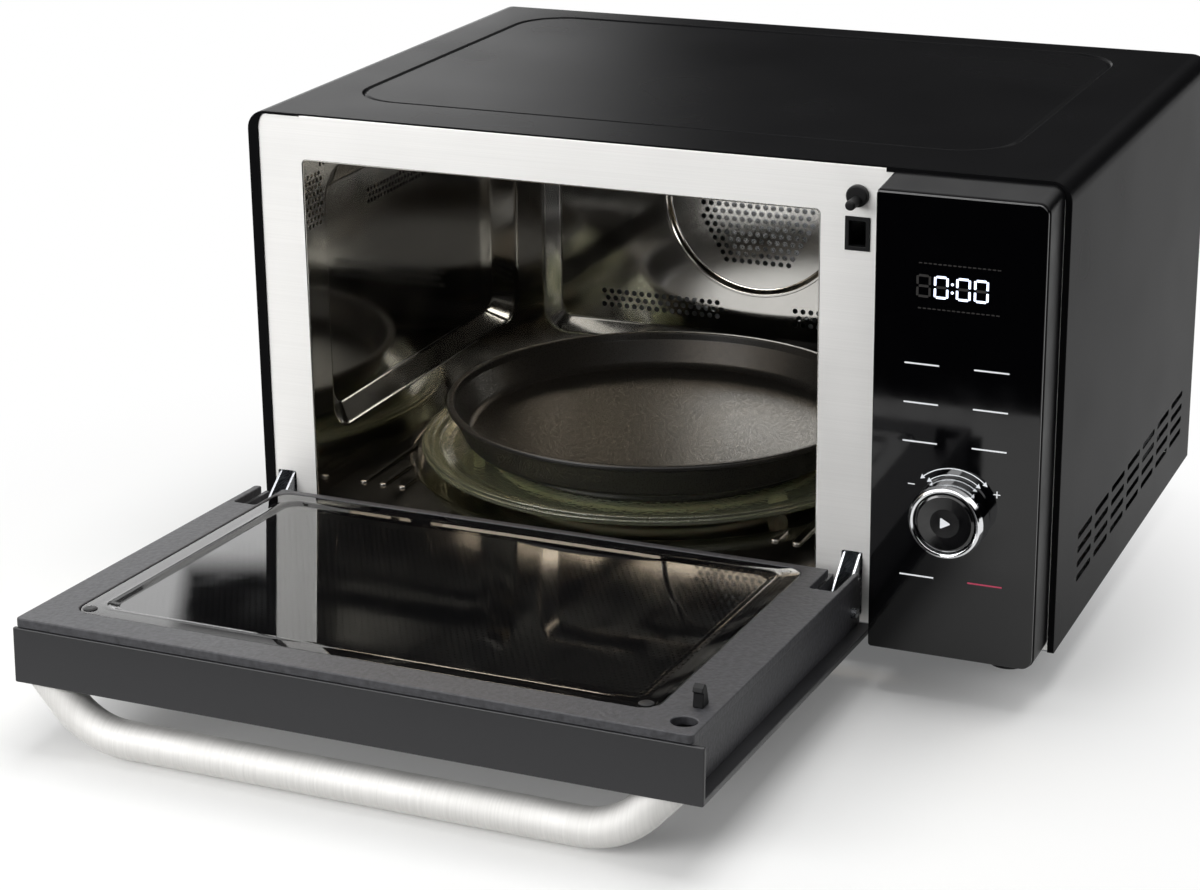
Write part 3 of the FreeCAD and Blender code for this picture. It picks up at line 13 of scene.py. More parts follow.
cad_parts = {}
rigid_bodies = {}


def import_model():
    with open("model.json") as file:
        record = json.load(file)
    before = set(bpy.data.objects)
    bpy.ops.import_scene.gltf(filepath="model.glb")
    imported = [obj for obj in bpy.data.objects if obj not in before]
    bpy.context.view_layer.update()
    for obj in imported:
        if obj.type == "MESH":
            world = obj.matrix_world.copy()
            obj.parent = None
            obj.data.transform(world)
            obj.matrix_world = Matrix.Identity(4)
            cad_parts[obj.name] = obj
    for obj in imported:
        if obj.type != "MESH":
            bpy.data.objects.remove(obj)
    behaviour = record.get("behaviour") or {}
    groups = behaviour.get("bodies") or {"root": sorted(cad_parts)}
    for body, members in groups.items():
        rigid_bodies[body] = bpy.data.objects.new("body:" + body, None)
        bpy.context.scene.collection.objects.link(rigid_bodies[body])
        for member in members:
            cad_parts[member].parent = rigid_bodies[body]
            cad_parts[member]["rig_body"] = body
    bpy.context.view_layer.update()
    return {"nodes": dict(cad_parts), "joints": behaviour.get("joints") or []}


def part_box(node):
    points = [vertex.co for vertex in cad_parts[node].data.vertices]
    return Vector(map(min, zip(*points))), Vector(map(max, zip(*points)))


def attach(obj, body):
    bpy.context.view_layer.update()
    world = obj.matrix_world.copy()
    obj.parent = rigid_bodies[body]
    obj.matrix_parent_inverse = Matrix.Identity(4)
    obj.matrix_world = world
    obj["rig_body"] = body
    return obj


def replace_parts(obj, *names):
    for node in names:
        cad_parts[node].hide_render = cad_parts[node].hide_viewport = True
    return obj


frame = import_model()
scene = bpy.context.scene

# Places
MM = 0.001
FRONT_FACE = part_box("front_plate")[0].y
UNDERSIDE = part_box("base_plate")[0].z
CABINET = Matrix.Translation((0, FRONT_FACE, UNDERSIDE)) @ Matrix.Scale(MM, 4)
hinge = next(joint for joint in frame["joints"] if joint["name"] == "door_hinge")
DOOR_ANGLE = math.radians(hinge["range_deg"][1])
DOOR = Matrix.Translation(hinge["pos_m"]) @ Matrix.Rotation(DOOR_ANGLE, 4, "X") @ Matrix.Scale(MM, 4)

# Flat drawings are made in X and Y with +Z as their outer side, then turned to face one of these ways
UPWARD = Matrix.Identity(4)
FRONTWARD = Matrix.Rotation(math.pi / 2, 4, "X")
REARWARD = Matrix(((-1, 0, 0, 0), (0, 0, 1, 0), (0, 1, 0, 0), (0, 0, 0, 1)))
RIGHTWARD = Matrix(((0, 0, 1, 0), (1, 0, 0, 0), (0, 1, 0, 0), (0, 0, 0, 1)))

# Height of the door's axis above the cabinet's underside, in millimetres
HINGE_RISE = (hinge["pos_m"][2] - UNDERSIDE) / MM
# Step between the rows of a staggered field, as a share of its pitch
HEX_RISE = math.sqrt(3) / 2


def span(node, place=CABINET):
    """Low and high corners of a CAD node in a place's own millimetres."""
    back = place.inverted()
    points = [back @ vertex.co for vertex in frame["nodes"][node].data.vertices]
    low = Vector([min(point[i] for point in points) for i in range(3)])
    high = Vector([max(point[i] for point in points) for i in range(3)])
    return low, high


def middle_of(node, place=CABINET):
    low, high = span(node, place)
    return (low + high) / 2


# Cavity faces, in the cabinet's millimetres
CAV_LEFT = span("cavity_left_wall")[1].x
CAV_RIGHT = span("cavity_right_wall")[0].x
CAV_LOW = span("cavity_floor")[1].z
CAV_TOP = span("cavity_ceiling")[0].z
CAV_FRONT = span("cavity_floor")[0].y
CAV_REAR = span("cavity_rear_wall")[0].y
# The floor lies between the side walls, which are as thick as the front plate
WALL_DEPTH = CAV_FRONT


# Materials

def colour(text):
    """Linear colour from an sRGB hex value."""
    parts = [int(text[i:i + 2], 16) / 255 for i in (1, 3, 5)]
    linear = [p / 12.92 if p <= 0.04045 else ((p + 0.055) / 1.055) ** 2.4 for p in parts]
    return (*linear, 1.0)


def add(tree, kind, settings=()):
    """Adds a node. Each setting is a value, or a node or socket that it's linked from."""
    node = tree.nodes.new(kind)
    for name, value in dict(settings).items():
        if isinstance(value, bpy.types.Node):
            value = value.outputs[0]
        if isinstance(value, bpy.types.NodeSocket):
            tree.links.new(value, node.inputs[name])
        elif isinstance(name, int) or name in node.inputs:
            node.inputs[name].default_value = value
        else:
            setattr(node, name, value)
    return node


def blank_tree(owner):
    """Empty node tree of a material or of the world."""
    owner.use_nodes = True
    owner.node_tree.nodes.clear()
    return owner.node_tree


MATHS = "ShaderNodeMath"
NOISE, CELLS, WAVES, BRICKS = ("ShaderNodeTex" + kind for kind in ("Noise", "Voronoi", "Wave", "Brick"))
# Values that most of a noise lies between
NOISE_RANGE = {"From Min": 0.3, "From Max": 0.7}


def coating(name, base, sockets, *layers):
    """Material with layers of pattern, each of which changes the relief, the colour or the roughness.

    A layer gives the size of its marks in millimetres and how far they are drawn out along each axis. It
    then says what it does: depth in millimetres, tint as two colours, or rough as two values.
    """
    coat = bpy.data.materials.new(name)
    tree = blank_tree(coat)
    shader = add(tree, "ShaderNodeBsdfPrincipled", {"Base Color": colour(base), **sockets})
    add(tree, "ShaderNodeOutputMaterial", {"Surface": shader})
    place = add(tree, "ShaderNodeTexCoord").outputs["Object"]
    for layer in layers:
        scale = [1 / (MM * layer["size"] * stretch) for stretch in layer.get("drawn", (1, 1, 1))]
        spread = add(tree, "ShaderNodeMapping", {"Scale": scale, "Vector": place})
        texture = add(tree, layer.get("kind", NOISE),
                      {"Scale": 1.0, **layer.get("settings", {}), "Vector": spread})
        value = texture.outputs[layer.get("read", "Fac")]
        if "rough" in layer:
            low, high = layer["rough"]
            mapped = add(tree, "ShaderNodeMapRange",
                         {**NOISE_RANGE, "To Min": low, "To Max": high, "Value": value})
            tree.links.new(mapped.outputs["Result"], shader.inputs["Roughness"])
        if "tint" in layer:
            dark, light = layer["tint"]
            mix = add(tree, "ShaderNodeMix",
                      {"data_type": "RGBA", 6: colour(dark), 7: colour(light), "Factor": value})
            tree.links.new(mix.outputs[2], shader.inputs["Base Color"])
        if "depth" in layer:
            bump = add(tree, "ShaderNodeBump",
                       {"Strength": 1.0, "Distance": layer["depth"] * MM, "Height": value})
            tree.links.new(bump.outputs["Normal"], shader.inputs["Normal"])
    return coat


# Powder-coated steel: satin black, with a fine orange peel that breaks up what it mirrors
BLACK_COAT = coating("black_powder_coat", "#101011", {"Roughness": 0.26, "Specular IOR Level": 0.009},
                     {"size": 1.1, "depth": 0.012}, {"size": 90, "rough": (0.24, 0.28)})

# Brushed stainless sheet: bright and silky, with long fine lines along its width
FRONT_STEEL = coating("brushed_stainless", "#f0efed", {"Metallic": 1.0, "Roughness": 0.6},
                      {"size": 0.6, "drawn": (200, 1, 1), "tint": ("#ebeae8", "#f5f4f2"), "depth": 0.002},
                      {"size": 50, "rough": (0.57, 0.63)})

# Bright annealed stainless: nearly a mirror, a little wavy, with wiped patches
CAVITY_STEEL = coating("bright_annealed_stainless", "#d6d4cf", {"Metallic": 1.0, "Roughness": 0.09},
                       {"size": 45, "rough": (0.07, 0.13)}, {"size": 34, "depth": 0.03},
                       {"size": 1.4, "drawn": (1, 60, 1), "tint": ("#cdcbc5", "#dfddd8")})

# Stainless floor: a darker base than the walls, still glossy
FLOOR_STEEL = coating("darker_floor_stainless", "#6f6c68", {"Metallic": 1.0, "Roughness": 0.16},
                     {"size": 40, "rough": (0.12, 0.22)}, {"size": 30, "tint": ("#63605c", "#7b7873")})

# Back-painted tempered glass: deep black under a hard gloss, with faint finger haze
PANEL_GLASS = coating("back_painted_glass", "#030304", {"Roughness": 0.05, "IOR": 1.5},
                     {"size": 22, "rough": (0.03, 0.08)})

# Black-printed door glass: a gloss that lets a little of the screen behind it through
DOOR_GLOSS = coating("printed_door_glass", "#050506", {"Roughness": 0.03, "IOR": 1.52, "Alpha": 0.7},
                    {"size": 28, "rough": (0.015, 0.05)})

# Spark-textured ABS: near-black and matt, with a pebbled grain, drawn coarse so that it shows
FRAME_PLASTIC = coating("spark_textured_abs", "#333335", {"Roughness": 0.55, "Specular IOR Level": 0.4},
                       {"size": 2.8, "depth": 0.3, "tint": ("#0e0e10", "#444448")})

# Painted ABS: smooth charcoal with a soft sheen
SKIN_PLASTIC = coating("satin_painted_abs", "#222224", {"Roughness": 0.38, "Specular IOR Level": 0.4},
                      {"size": 0.7, "depth": 0.006}, {"size": 40, "rough": (0.34, 0.44)})

# Smooth moulded ABS: black, with a soft sheen on its rounded edges
PANEL_PLASTIC = coating("satin_moulded_abs", "#0c0c0d", {"Roughness": 0.32, "Specular IOR Level": 0.06},
                       {"size": 0.8, "depth": 0.006}, {"size": 30, "rough": (0.28, 0.36)})

# Satin stainless tube: polished round its girth, so fine lines run round the bar
HANDLE_STEEL = coating("satin_stainless_tube", "#d6d5d3", {"Metallic": 1.0, "Roughness": 0.76},
                       {"size": 0.8, "drawn": (1, 40, 40), "tint": ("#cdccca", "#dfdedc"), "depth": 0.003},
                       {"size": 30, "rough": (0.72, 0.8)})

# Chromed ABS: a clean bright mirror with a slight polishing swirl
CHROME = coating("chromed_abs", "#e0e1e3", {"Metallic": 1.0, "Roughness": 0.08},
                 {"size": 5, "rough": (0.05, 0.12)})

# Piano-black ABS: wet gloss with tiny moulding ripples
CAP_GLOSS = coating("piano_black_abs", "#050506", {"Roughness": 0.1, "Coat Weight": 0.4},
                   {"size": 8, "rough": (0.06, 0.15)})

# Moulded rubber: matt black with a dusty bloom
RUBBER = coating("moulded_rubber", "#141415", {"Roughness": 0.8},
                {"size": 6, "tint": ("#101011", "#1d1d1e")}, {"size": 0.8, "depth": 0.05})

# Pressed soda-lime glass: green-yellow in its thickness, with a rippled fire-polished skin
TRAY_GLASS = coating("pressed_soda_lime_glass", "#e6e9cb",
                     {"Roughness": 0.05, "IOR": 1.5, "Transmission Weight": 0.95},
                    {"size": 3.5, "depth": 0.16}, {"size": 12, "rough": (0.02, 0.1)})

# Sprayed non-stick coat on aluminium: charcoal with a fine fleck and a low sheen
NONSTICK = coating("sprayed_nonstick", "#1b1a19", {"Roughness": 0.32, "Specular IOR Level": 0.35},
                  {"kind": CELLS, "read": "Distance", "size": 1.1, "rough": (0.27, 0.38)},
                  {"kind": CELLS, "read": "Distance", "size": 1.1, "tint": ("#262422", "#131312")},
                  {"size": 0.8, "depth": 0.015})

# Hot-dip galvanised sheet: dull silver with the leafy patches of its zinc crystals
ZINC = coating("galvanised_sheet", "#9b9ea1", {"Metallic": 1.0, "Roughness": 0.45},
              {"kind": CELLS, "read": "Color", "size": 7, "rough": (0.36, 0.56)},
              {"kind": CELLS, "read": "Color", "size": 7, "tint": ("#84878a", "#aeb1b4")})

# Zinc-plated pressing: bright bluish silver with drawn streaks
BRIGHT_ZINC = coating("bright_zinc_plate", "#b9bcc0", {"Metallic": 1.0, "Roughness": 0.25},
                     {"size": 0.6, "drawn": (1, 20, 1), "rough": (0.18, 0.34)})

# Heat-tinted nickel alloy sheath: dull brown-grey with straw and blue temper colours
SHEATH = coating("tempered_alloy_sheath", "#4f4740", {"Metallic": 1.0, "Roughness": 0.5},
                {"size": 26, "tint": ("#3d3b40", "#6a5540")}, {"size": 0.7, "depth": 0.02})

# Grey-enamelled screen: plain and dull, so that its punching shows through the black glass
SCREEN = coating("enamelled_screen", "#8a8b8c", {"Roughness": 0.5}, {"size": 3, "rough": (0.42, 0.58)})

# Natural moulded nylon: milky off-white and slightly waxy
NYLON = coating("natural_nylon", "#cfcbbd",
                {"Roughness": 0.45, "Subsurface Weight": 0.15, "Subsurface Scale": 0.002},
               {"size": 9, "tint": ("#c4bfae", "#d9d5c8")})

# Pressed mica sheet: pearly brown flakes
MICA = coating("pressed_mica", "#9a8664", {"Roughness": 0.4},
              {"kind": CELLS, "read": "Distance", "size": 4, "tint": ("#b8a684", "#7c6746")})

# Glass-filled nylon: plain black with a matt, faintly grey skin
MOULDING = coating("glass_filled_nylon", "#0f0f10", {"Roughness": 0.5, "Specular IOR Level": 0.2},
                  {"size": 1.0, "depth": 0.03, "tint": ("#0b0b0c", "#161617")})

# Rolled and die-cast aluminium: pale grey with a soft mottled bloom
ALUMINIUM = coating("bright_aluminium", "#b8babd", {"Metallic": 1.0, "Roughness": 0.4},
                   {"size": 5, "rough": (0.32, 0.5)})

# Stacked electrical steel: dark grey, lined by the edges of its laminations
IRON = coating("laminated_steel", "#3a3b3d", {"Metallic": 1.0, "Roughness": 0.55},
              {"kind": WAVES, "size": 5, "settings": {"bands_direction": "Y"}, "depth": 0.05,
               "tint": ("#2b2c2d", "#4b4c4f")})

# Enamelled copper wire: red-brown gloss, ribbed by each turn
COPPER = coating("enamelled_copper", "#8a4a22", {"Metallic": 0.8, "Roughness": 0.3},
                {"kind": WAVES, "size": 7.5, "settings": {"bands_direction": "Z"}, "depth": 0.25,
                 "tint": ("#5f2f14", "#9c5a2c")})

# Solder-masked laminate: deep green with paler tracks
BOARD = coating("solder_masked_laminate", "#12402a", {"Roughness": 0.35},
               {"kind": BRICKS, "size": 9, "tint": ("#0f3826", "#2c6a45")})


def ink(name, base, glow=0.0):
    """Screen-printed ink, or a lit bar where it glows: flat colour with a slightly uneven sheen. A glow on
    printed ink is painted brightness, since print gives no light.
    """
    sockets = {"Roughness": 0.5, "Emission Color": colour(base), "Emission Strength": glow}
    return coating(name, base, sockets, {"size": 2, "rough": (0.42, 0.6)})


# The white and red prints carry a faint painted glow; only the display's lit bars give real light.
WHITE_PRINT_PAINTED_GLOW = ink("white_print_painted_glow", "#d8dadd", glow=0.2)
RED_PRINT_PAINTED_GLOW = ink("red_print_painted_glow", "#a83450", glow=0.1)
DIM_INK = ink("unlit_bars", "#171412")
LIT = ink("lit_bars", "#dfe8ff", glow=1.3)


# Meshes

def rounded(points, radius, steps=5):
    """Outline whose corners are arcs. The radius is one number, or one for each corner."""
    radii = radius if isinstance(radius, (list, tuple)) else [radius] * len(points)
    out = []
    for index, size in enumerate(radii):
        here = Vector(points[index])
        back = Vector(points[index - 1]) - here
        ahead = Vector(points[(index + 1) % len(points)]) - here
        half = back.angle(ahead) / 2
        if size <= 0 or half > math.pi / 2 - 0.01:
            out.append(here)
            continue
        reach = min(size / math.tan(half), 0.49 * back.length, 0.49 * ahead.length)
        arc = reach * math.tan(half)
        centre = here + (back.normalized() + ahead.normalized()).normalized() * (arc / math.sin(half))
        start = here + back.normalized() * reach - centre
        end = here + ahead.normalized() * reach - centre
        first = math.atan2(start.y, start.x)
        turn = (math.atan2(end.y, end.x) - first + math.pi) % (2 * math.pi) - math.pi
        for step in range(steps + 1):
            angle = first + turn * step / steps
            out.append(centre + Vector((math.cos(angle), math.sin(angle))) * arc)
    return out


def rect(across, upward):
    (left, right), (low, high) = across, upward
    return [(left, low), (right, low), (right, high), (left, high)]


def around(middle, half):
    return (middle - half, middle + half)


def inset(pair, amount):
    return (pair[0] + amount, pair[1] - amount)


def front_rect(node, place=CABINET, grow=0.0):
    """Rectangle of a CAD node seen from the front, grown on each side."""
    low, high = span(node, place)
    return rect(inset((low.x, high.x), -grow), inset((low.z, high.z), -grow))


def disc(across, upward, radius, steps=24):
    turns = [2 * math.pi * step / steps for step in range(steps)]
    return [(across + radius * math.cos(turn), upward + radius * math.sin(turn)) for turn in turns]


def mesh_of(bm):
    mesh = bpy.data.meshes.new("mesh")
    bm.to_mesh(mesh)
    bm.free()
    return mesh


def made(bm, recalc=True):
    """Mesh with its seams joined and, unless they are right already, its faces turned outward."""
    bmesh.ops.remove_doubles(bm, verts=bm.verts, dist=0.0005)
    if recalc:
        bmesh.ops.recalc_face_normals(bm, faces=bm.faces)
    return mesh_of(bm)


def plain(holder):
    """Plain mesh of an object with its modifiers, which takes the object away."""
    scene.collection.objects.link(holder)
    graph = bpy.context.evaluated_depsgraph_get()
    mesh = bpy.data.meshes.new_from_object(holder.evaluated_get(graph), preserve_all_data_layers=True,
                                           depsgraph=graph)
    bpy.data.objects.remove(holder)
    return mesh


def worked(mesh, *steps):
    """Mesh after modifiers: each a kind with its settings, or a node tree with its inputs."""
    holder = bpy.data.objects.new("work", mesh)
    for step, settings in steps:
        if isinstance(step, str):
            modifier = holder.modifiers.new(step, step)
            for name, value in settings.items():
                setattr(modifier, name, value)
        else:
            modifier = holder.modifiers.new(step.name, "NODES")
            modifier.node_group = step
            for item in step.interface.items_tree:
                if item.in_out == "INPUT" and item.name in settings:
                    modifier[item.identifier] = settings[item.name]
    return plain(holder)


def drawn(loops, closed=True, **settings):
    """Mesh of a curve through loops of points."""
    curve = bpy.data.curves.new("line", "CURVE")
    for name, value in settings.items():
        setattr(curve, name, value)
    for loop in loops:
        spline = curve.splines.new("POLY")
        spline.points.add(len(loop) - 1)
        for point, place in zip(spline.points, loop):
            point.co = (*place, *[0] * (3 - len(place)), 1)
        spline.use_cyclic_u = closed
    mesh = plain(bpy.data.objects.new("line", curve))
    bpy.data.curves.remove(curve)
    bm = bmesh.new()
    bm.from_mesh(mesh)
    return made(bm)


def plate(loops, low, high, edge=0.0, steps=2):
    """Flat sheet with holes between two levels, its rims rounded by edge."""
    mesh = drawn(loops, dimensions="2D", fill_mode="BOTH", extrude=(high - low) / 2 - edge,
                 bevel_depth=edge, bevel_resolution=steps, offset=-edge)
    mesh.transform(Matrix.Translation((0, 0, (low + high) / 2)))
    return mesh


def tube(points, radius, steps=6):
    return drawn([points], closed=False, dimensions="3D", bevel_depth=radius, bevel_resolution=steps,
                 use_fill_caps=True)


def skin(rings, foot=False):
    """Sheet through outlines of equal count, closed over the last and, with a foot, under the first."""
    bm = bmesh.new()
    rows = [[bm.verts.new(point) for point in ring] for ring in rings]
    for lower, upper in zip(rows, rows[1:]):
        for index in range(len(lower)):
            after = (index + 1) % len(lower)
            bm.faces.new((lower[index], lower[after], upper[after], upper[index]))
    bm.faces.new(rows[-1])
    if foot:
        bm.faces.new(list(reversed(rows[0])))
    return made(bm, recalc=foot)


def level(loop, height):
    return [(point[0], point[1], height) for point in loop]


def lathe(profile, steps=96):
    """Turned solid: a closed outline of radius and height swept round +Z."""
    bm = bmesh.new()
    rings = []
    for radius, height in profile:
        count = 1 if radius < 1e-6 else steps
        turns = [2 * math.pi * step / steps for step in range(count)]
        rings.append([bm.verts.new((radius * math.cos(t), radius * math.sin(t), height)) for t in turns])
    for lower, upper in zip(rings, rings[1:] + rings[:1]):
        for index in range(steps):
            after = (index + 1) % steps
            corners = [lower[index % len(lower)], lower[after % len(lower)],
                       upper[after % len(upper)], upper[index % len(upper)]]
            corners = list(dict.fromkeys(corners))
            if len(corners) > 2:
                bm.faces.new(corners)
    return made(bm)


def block(x, y, z, edge):
    """Box with rounded edges."""
    bm = bmesh.new()
    bmesh.ops.create_cube(bm, size=1)
    for vertex in bm.verts:
        for axis, pair in enumerate((x, y, z)):
            vertex.co[axis] = pair[0] if vertex.co[axis] < 0 else pair[1]
    bmesh.ops.bevel(bm, geom=bm.edges[:], offset=edge, segments=3, profile=0.5, affect="EDGES")
    return made(bm)


def joined(*meshes):
    bm = bmesh.new()
    for mesh in meshes:
        bm.from_mesh(mesh)
    return mesh_of(bm)


def placed(mesh, turn, shift=(0, 0, 0)):
    mesh.transform(Matrix.Translation(shift) @ turn)
    return mesh


def turned(node, facing, outline, rounds, steps, sides):
    """Turned solid with rounded corners, on the upright or the front-facing axis of a CAD node."""
    middle = middle_of(node)
    shift = (middle.x, middle.y, 0) if facing is UPWARD else (middle.x, 0, middle.z)
    return placed(lathe(rounded(outline, rounds, steps), sides), facing, shift)


def piece(name, mesh, finish, like, place=CABINET, angle=38):
    """Puts a mesh in the scene, with its finish, on the body of a CAD node."""
    mesh.transform(place)
    mesh.materials.clear()
    mesh.materials.append(finish)
    mesh.shade_smooth()
    mesh.set_sharp_from_angle(angle=math.radians(angle))
    mesh = worked(mesh, ("WEIGHTED_NORMAL", {"keep_sharp": True}))
    item = bpy.data.objects.new(name, mesh)
    scene.collection.objects.link(item)
    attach(item, frame["nodes"][like]["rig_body"])
    return item


def stand_in(name, mesh, finish, node, place=CABINET, angle=38):
    """Piece that takes the place of its CAD node."""
    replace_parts(piece(name, mesh, finish, node, place, angle), node)


def softened(node, finish, edge):
    """Stands a copy of a CAD node in its place, with its sharp edges broken by edge."""
    bm = bmesh.new()
    bm.from_mesh(frame["nodes"][node].data)
    bm.transform(CABINET.inverted())
    bmesh.ops.remove_doubles(bm, verts=bm.verts, dist=0.002)
    bmesh.ops.dissolve_limit(bm, angle_limit=math.radians(1), verts=bm.verts, edges=bm.edges)
    bevel = {"width": edge, "segments": 2, "limit_method": "ANGLE", "angle_limit": math.radians(40)}
    stand_in(node + "_dressed", worked(mesh_of(bm), ("BEVEL", bevel)), finish, node)


def dress(finish, *nodes):
    for node in nodes:
        materials = frame["nodes"][node].data.materials
        materials.clear()
        materials.append(finish)


# Node trees for what repeats

def new_tree(name, sockets):
    """Empty geometry tree with its named inputs, and its two end nodes."""
    tree = bpy.data.node_groups.new(name, "GeometryNodeTree")
    tree.interface.new_socket("Geometry", in_out="INPUT", socket_type="NodeSocketGeometry")
    for label, kind in sockets.items():
        tree.interface.new_socket(label, in_out="INPUT", socket_type="NodeSocket" + kind)
    tree.interface.new_socket("Geometry", in_out="OUTPUT", socket_type="NodeSocketGeometry")
    return tree, add(tree, "NodeGroupInput").outputs


def close_tree(tree, geometry, material):
    real = add(tree, "GeometryNodeRealizeInstances", {"Geometry": geometry})
    coated = add(tree, "GeometryNodeSetMaterial", {"Geometry": real, "Material": material})
    add(tree, "NodeGroupOutput", {"Geometry": coated})
    return tree


def punching_tree():
    """Punches a staggered field of round holes through a closed sheet.

    The field is trimmed to a hexagon and to a half width.
    """
    tree, source = new_tree("punched_holes", {
        "Pitch": "Float", "Hole Radius": "Float", "Columns": "Int", "Rows": "Int", "Reach": "Float",
        "Half Width": "Float", "Sides": "Int", "Depth": "Float", "Centre": "Vector", "Material": "Material"})

    def maths(operation, *values):
        return add(tree, MATHS, {"operation": operation, **dict(enumerate(values))})

    pitch, columns, rows = (source[name] for name in ("Pitch", "Columns", "Rows"))
    rise = maths("MULTIPLY", pitch, HEX_RISE)
    width = maths("MULTIPLY", maths("SUBTRACT", columns, 1.0), pitch)
    height = maths("MULTIPLY", maths("SUBTRACT", rows, 1.0), rise)
    grid = add(tree, "GeometryNodeMeshGrid",
               {"Size X": width, "Size Y": height, "Vertices X": columns, "Vertices Y": rows})
    row = maths("MODULO", add(tree, "GeometryNodeInputIndex"), rows)
    half = maths("MULTIPLY", maths("MODULO", row, 2.0), 0.5)
    offset = add(tree, "ShaderNodeCombineXYZ", {"X": maths("MULTIPLY", half, pitch)})
    field = add(tree, "GeometryNodeSetPosition", {"Geometry": grid, "Offset": offset})
    spot = add(tree, "ShaderNodeSeparateXYZ", {"Vector": add(tree, "GeometryNodeInputPosition")})
    across = maths("ABSOLUTE", spot.outputs["X"])
    upward = maths("ABSOLUTE", spot.outputs["Y"])
    lean = maths("MULTIPLY_ADD", across, HEX_RISE, maths("MULTIPLY", upward, 0.5))
    beyond = maths("GREATER_THAN", maths("MAXIMUM", lean, upward), source["Reach"])
    beside = maths("GREATER_THAN", across, source["Half Width"])
    kept = add(tree, "GeometryNodeDeleteGeometry",
               {"Geometry": field, "Selection": maths("MAXIMUM", beyond, beside)})
    punch = add(tree, "GeometryNodeMeshCylinder",
                {"Vertices": source["Sides"], "Radius": source["Hole Radius"], "Depth": source["Depth"]})
    punches = add(tree, "GeometryNodeInstanceOnPoints", {"Points": kept, "Instance": punch})
    solid = add(tree, "GeometryNodeRealizeInstances", {"Geometry": punches})
    moved = add(tree, "GeometryNodeTransform", {"Geometry": solid, "Translation": source["Centre"]})
    holed = add(tree, "GeometryNodeMeshBoolean", {"operation": "DIFFERENCE", "solver": "MANIFOLD",
                                                  "Mesh 1": source["Geometry"], "Mesh 2": moved})
    return close_tree(tree, holed, source["Material"])


def rows_tree():
    """Repeats one shape in columns and rows."""
    tree, source = new_tree("rows_of_copies", {"Columns": "Int", "Rows": "Int", "Column Step": "Vector",
                                               "Row Step": "Vector", "Material": "Material"})
    shape = source["Geometry"]
    for count, step in (("Columns", "Column Step"), ("Rows", "Row Step")):
        line = add(tree, "GeometryNodeMeshLine", {"Count": source[count], "Offset": source[step]})
        shape = add(tree, "GeometryNodeInstanceOnPoints", {"Points": line, "Instance": shape})
    return close_tree(tree, shape, source["Material"])


PUNCH = punching_tree()
ROWS = rows_tree()


def holes(pitch, radius, columns, rows, centre, finish, reach=1000.0, wide=1000.0, sides=12, depth=30.0):
    """Step for worked() that punches a field of holes."""
    return PUNCH, {"Pitch": pitch, "Hole Radius": radius, "Columns": columns, "Rows": rows, "Reach": reach,
                   "Half Width": wide, "Sides": sides, "Depth": depth, "Centre": centre, "Material": finish}


def repeated(columns, rows, column_step, row_step, finish):
    """Step for worked() that repeats a shape in columns and rows."""
    return ROWS, {"Columns": columns, "Rows": rows, "Column Step": column_step, "Row Step": row_step,
                  "Material": finish}


# Cabinet

SHEET_DEPTH = 0.8
THICKENED = ("SOLIDIFY", {"thickness": SHEET_DEPTH, "offset": -1.0})
ROOF_ROUND, ROOF_STEPS = 12.0, 8
PRESS_LEFT, PRESS_RIGHT, PRESS_FRONT, PRESS_REAR, PRESS_ROUND = 40.0, 52.0, 47.0, 22.0, 37.0
# Steps inward and downward: a groove round the panel, whose inner lip stands a little below the roof
PRESS_STEPS = ((0.0, 0.0), (0.5, 0.2), (1.4, 1.1), (2.0, 1.3), (2.6, 1.1), (3.6, 0.5), (4.4, 0.35))
# Hem of the sheet beside the front plate: side, width down the side, reach along the roof and drop there
HEMS = (("left_hem", -1, 7.0, 24.0, 1.6), ("right_hem", 1, 3.8, 95.0, 3.2))
HEM_EDGE = 0.3
VENT_START, VENT_LENGTH, VENT_PITCH, VENT_LOW, VENT_RISE, VENT_HEIGHT = 48.0, 34.0, 42.0, 26.0, 9.0, 4.0
VENT_COLUMNS, VENT_ROWS = 7, 4
# Front plate: how far its opening lies inside the cavity's sides and roof and below the floor
OPENING_STEP, OPENING_ROUND, PLATE_EDGE = 2.0, 3.0, 0.35
PLATE_ROUNDS = (1, 1, 10, 10)
HINGE_SLOT_HALF, HINGE_SLOT_ENDS, HINGE_SLOT_ROUND = 6.4, (6.0, 45.5), 1.2
# Radius of the bright rolled lip round the opening
LIP = 0.9
# Underside of a foot from its middle outward: share of the radius, and rise
FOOT_TREAD = ((0.0, 0.0), (0.5, 0.0), (0.55, 1.2), (0.62, 1.2), (0.66, 0.0), (0.8, 0.0))
FOOT_ROUNDS = (0, 0.4, 0.4, 0.4, 0.4, 2.0, 0.8, 0)
# Rear screws: dome as shares of the radius with heights, then their grid
SCREW_RADIUS = 3.2
SCREW_DOME = ((0.0, 1.5), (0.5, 1.35), (0.85, 0.85), (1.0, 0.0), (0.6, -0.5), (0.0, -0.5))
SCREW_COLUMNS, SCREW_INSET, SCREW_LOW, SCREW_RISE = 4, 9.0, 12.0, 245.0


def filled(bm, loops):
    """Flat faces between an outline and its holes."""
    edges = []
    for loop in loops:
        corners = [bm.verts.new(point) for point in loop]
        for index, corner in enumerate(corners):
            edges.append(bm.edges.new((corner, corners[(index + 1) % len(corners)])))
    bmesh.ops.triangle_fill(bm, edges=edges, use_beauty=True)


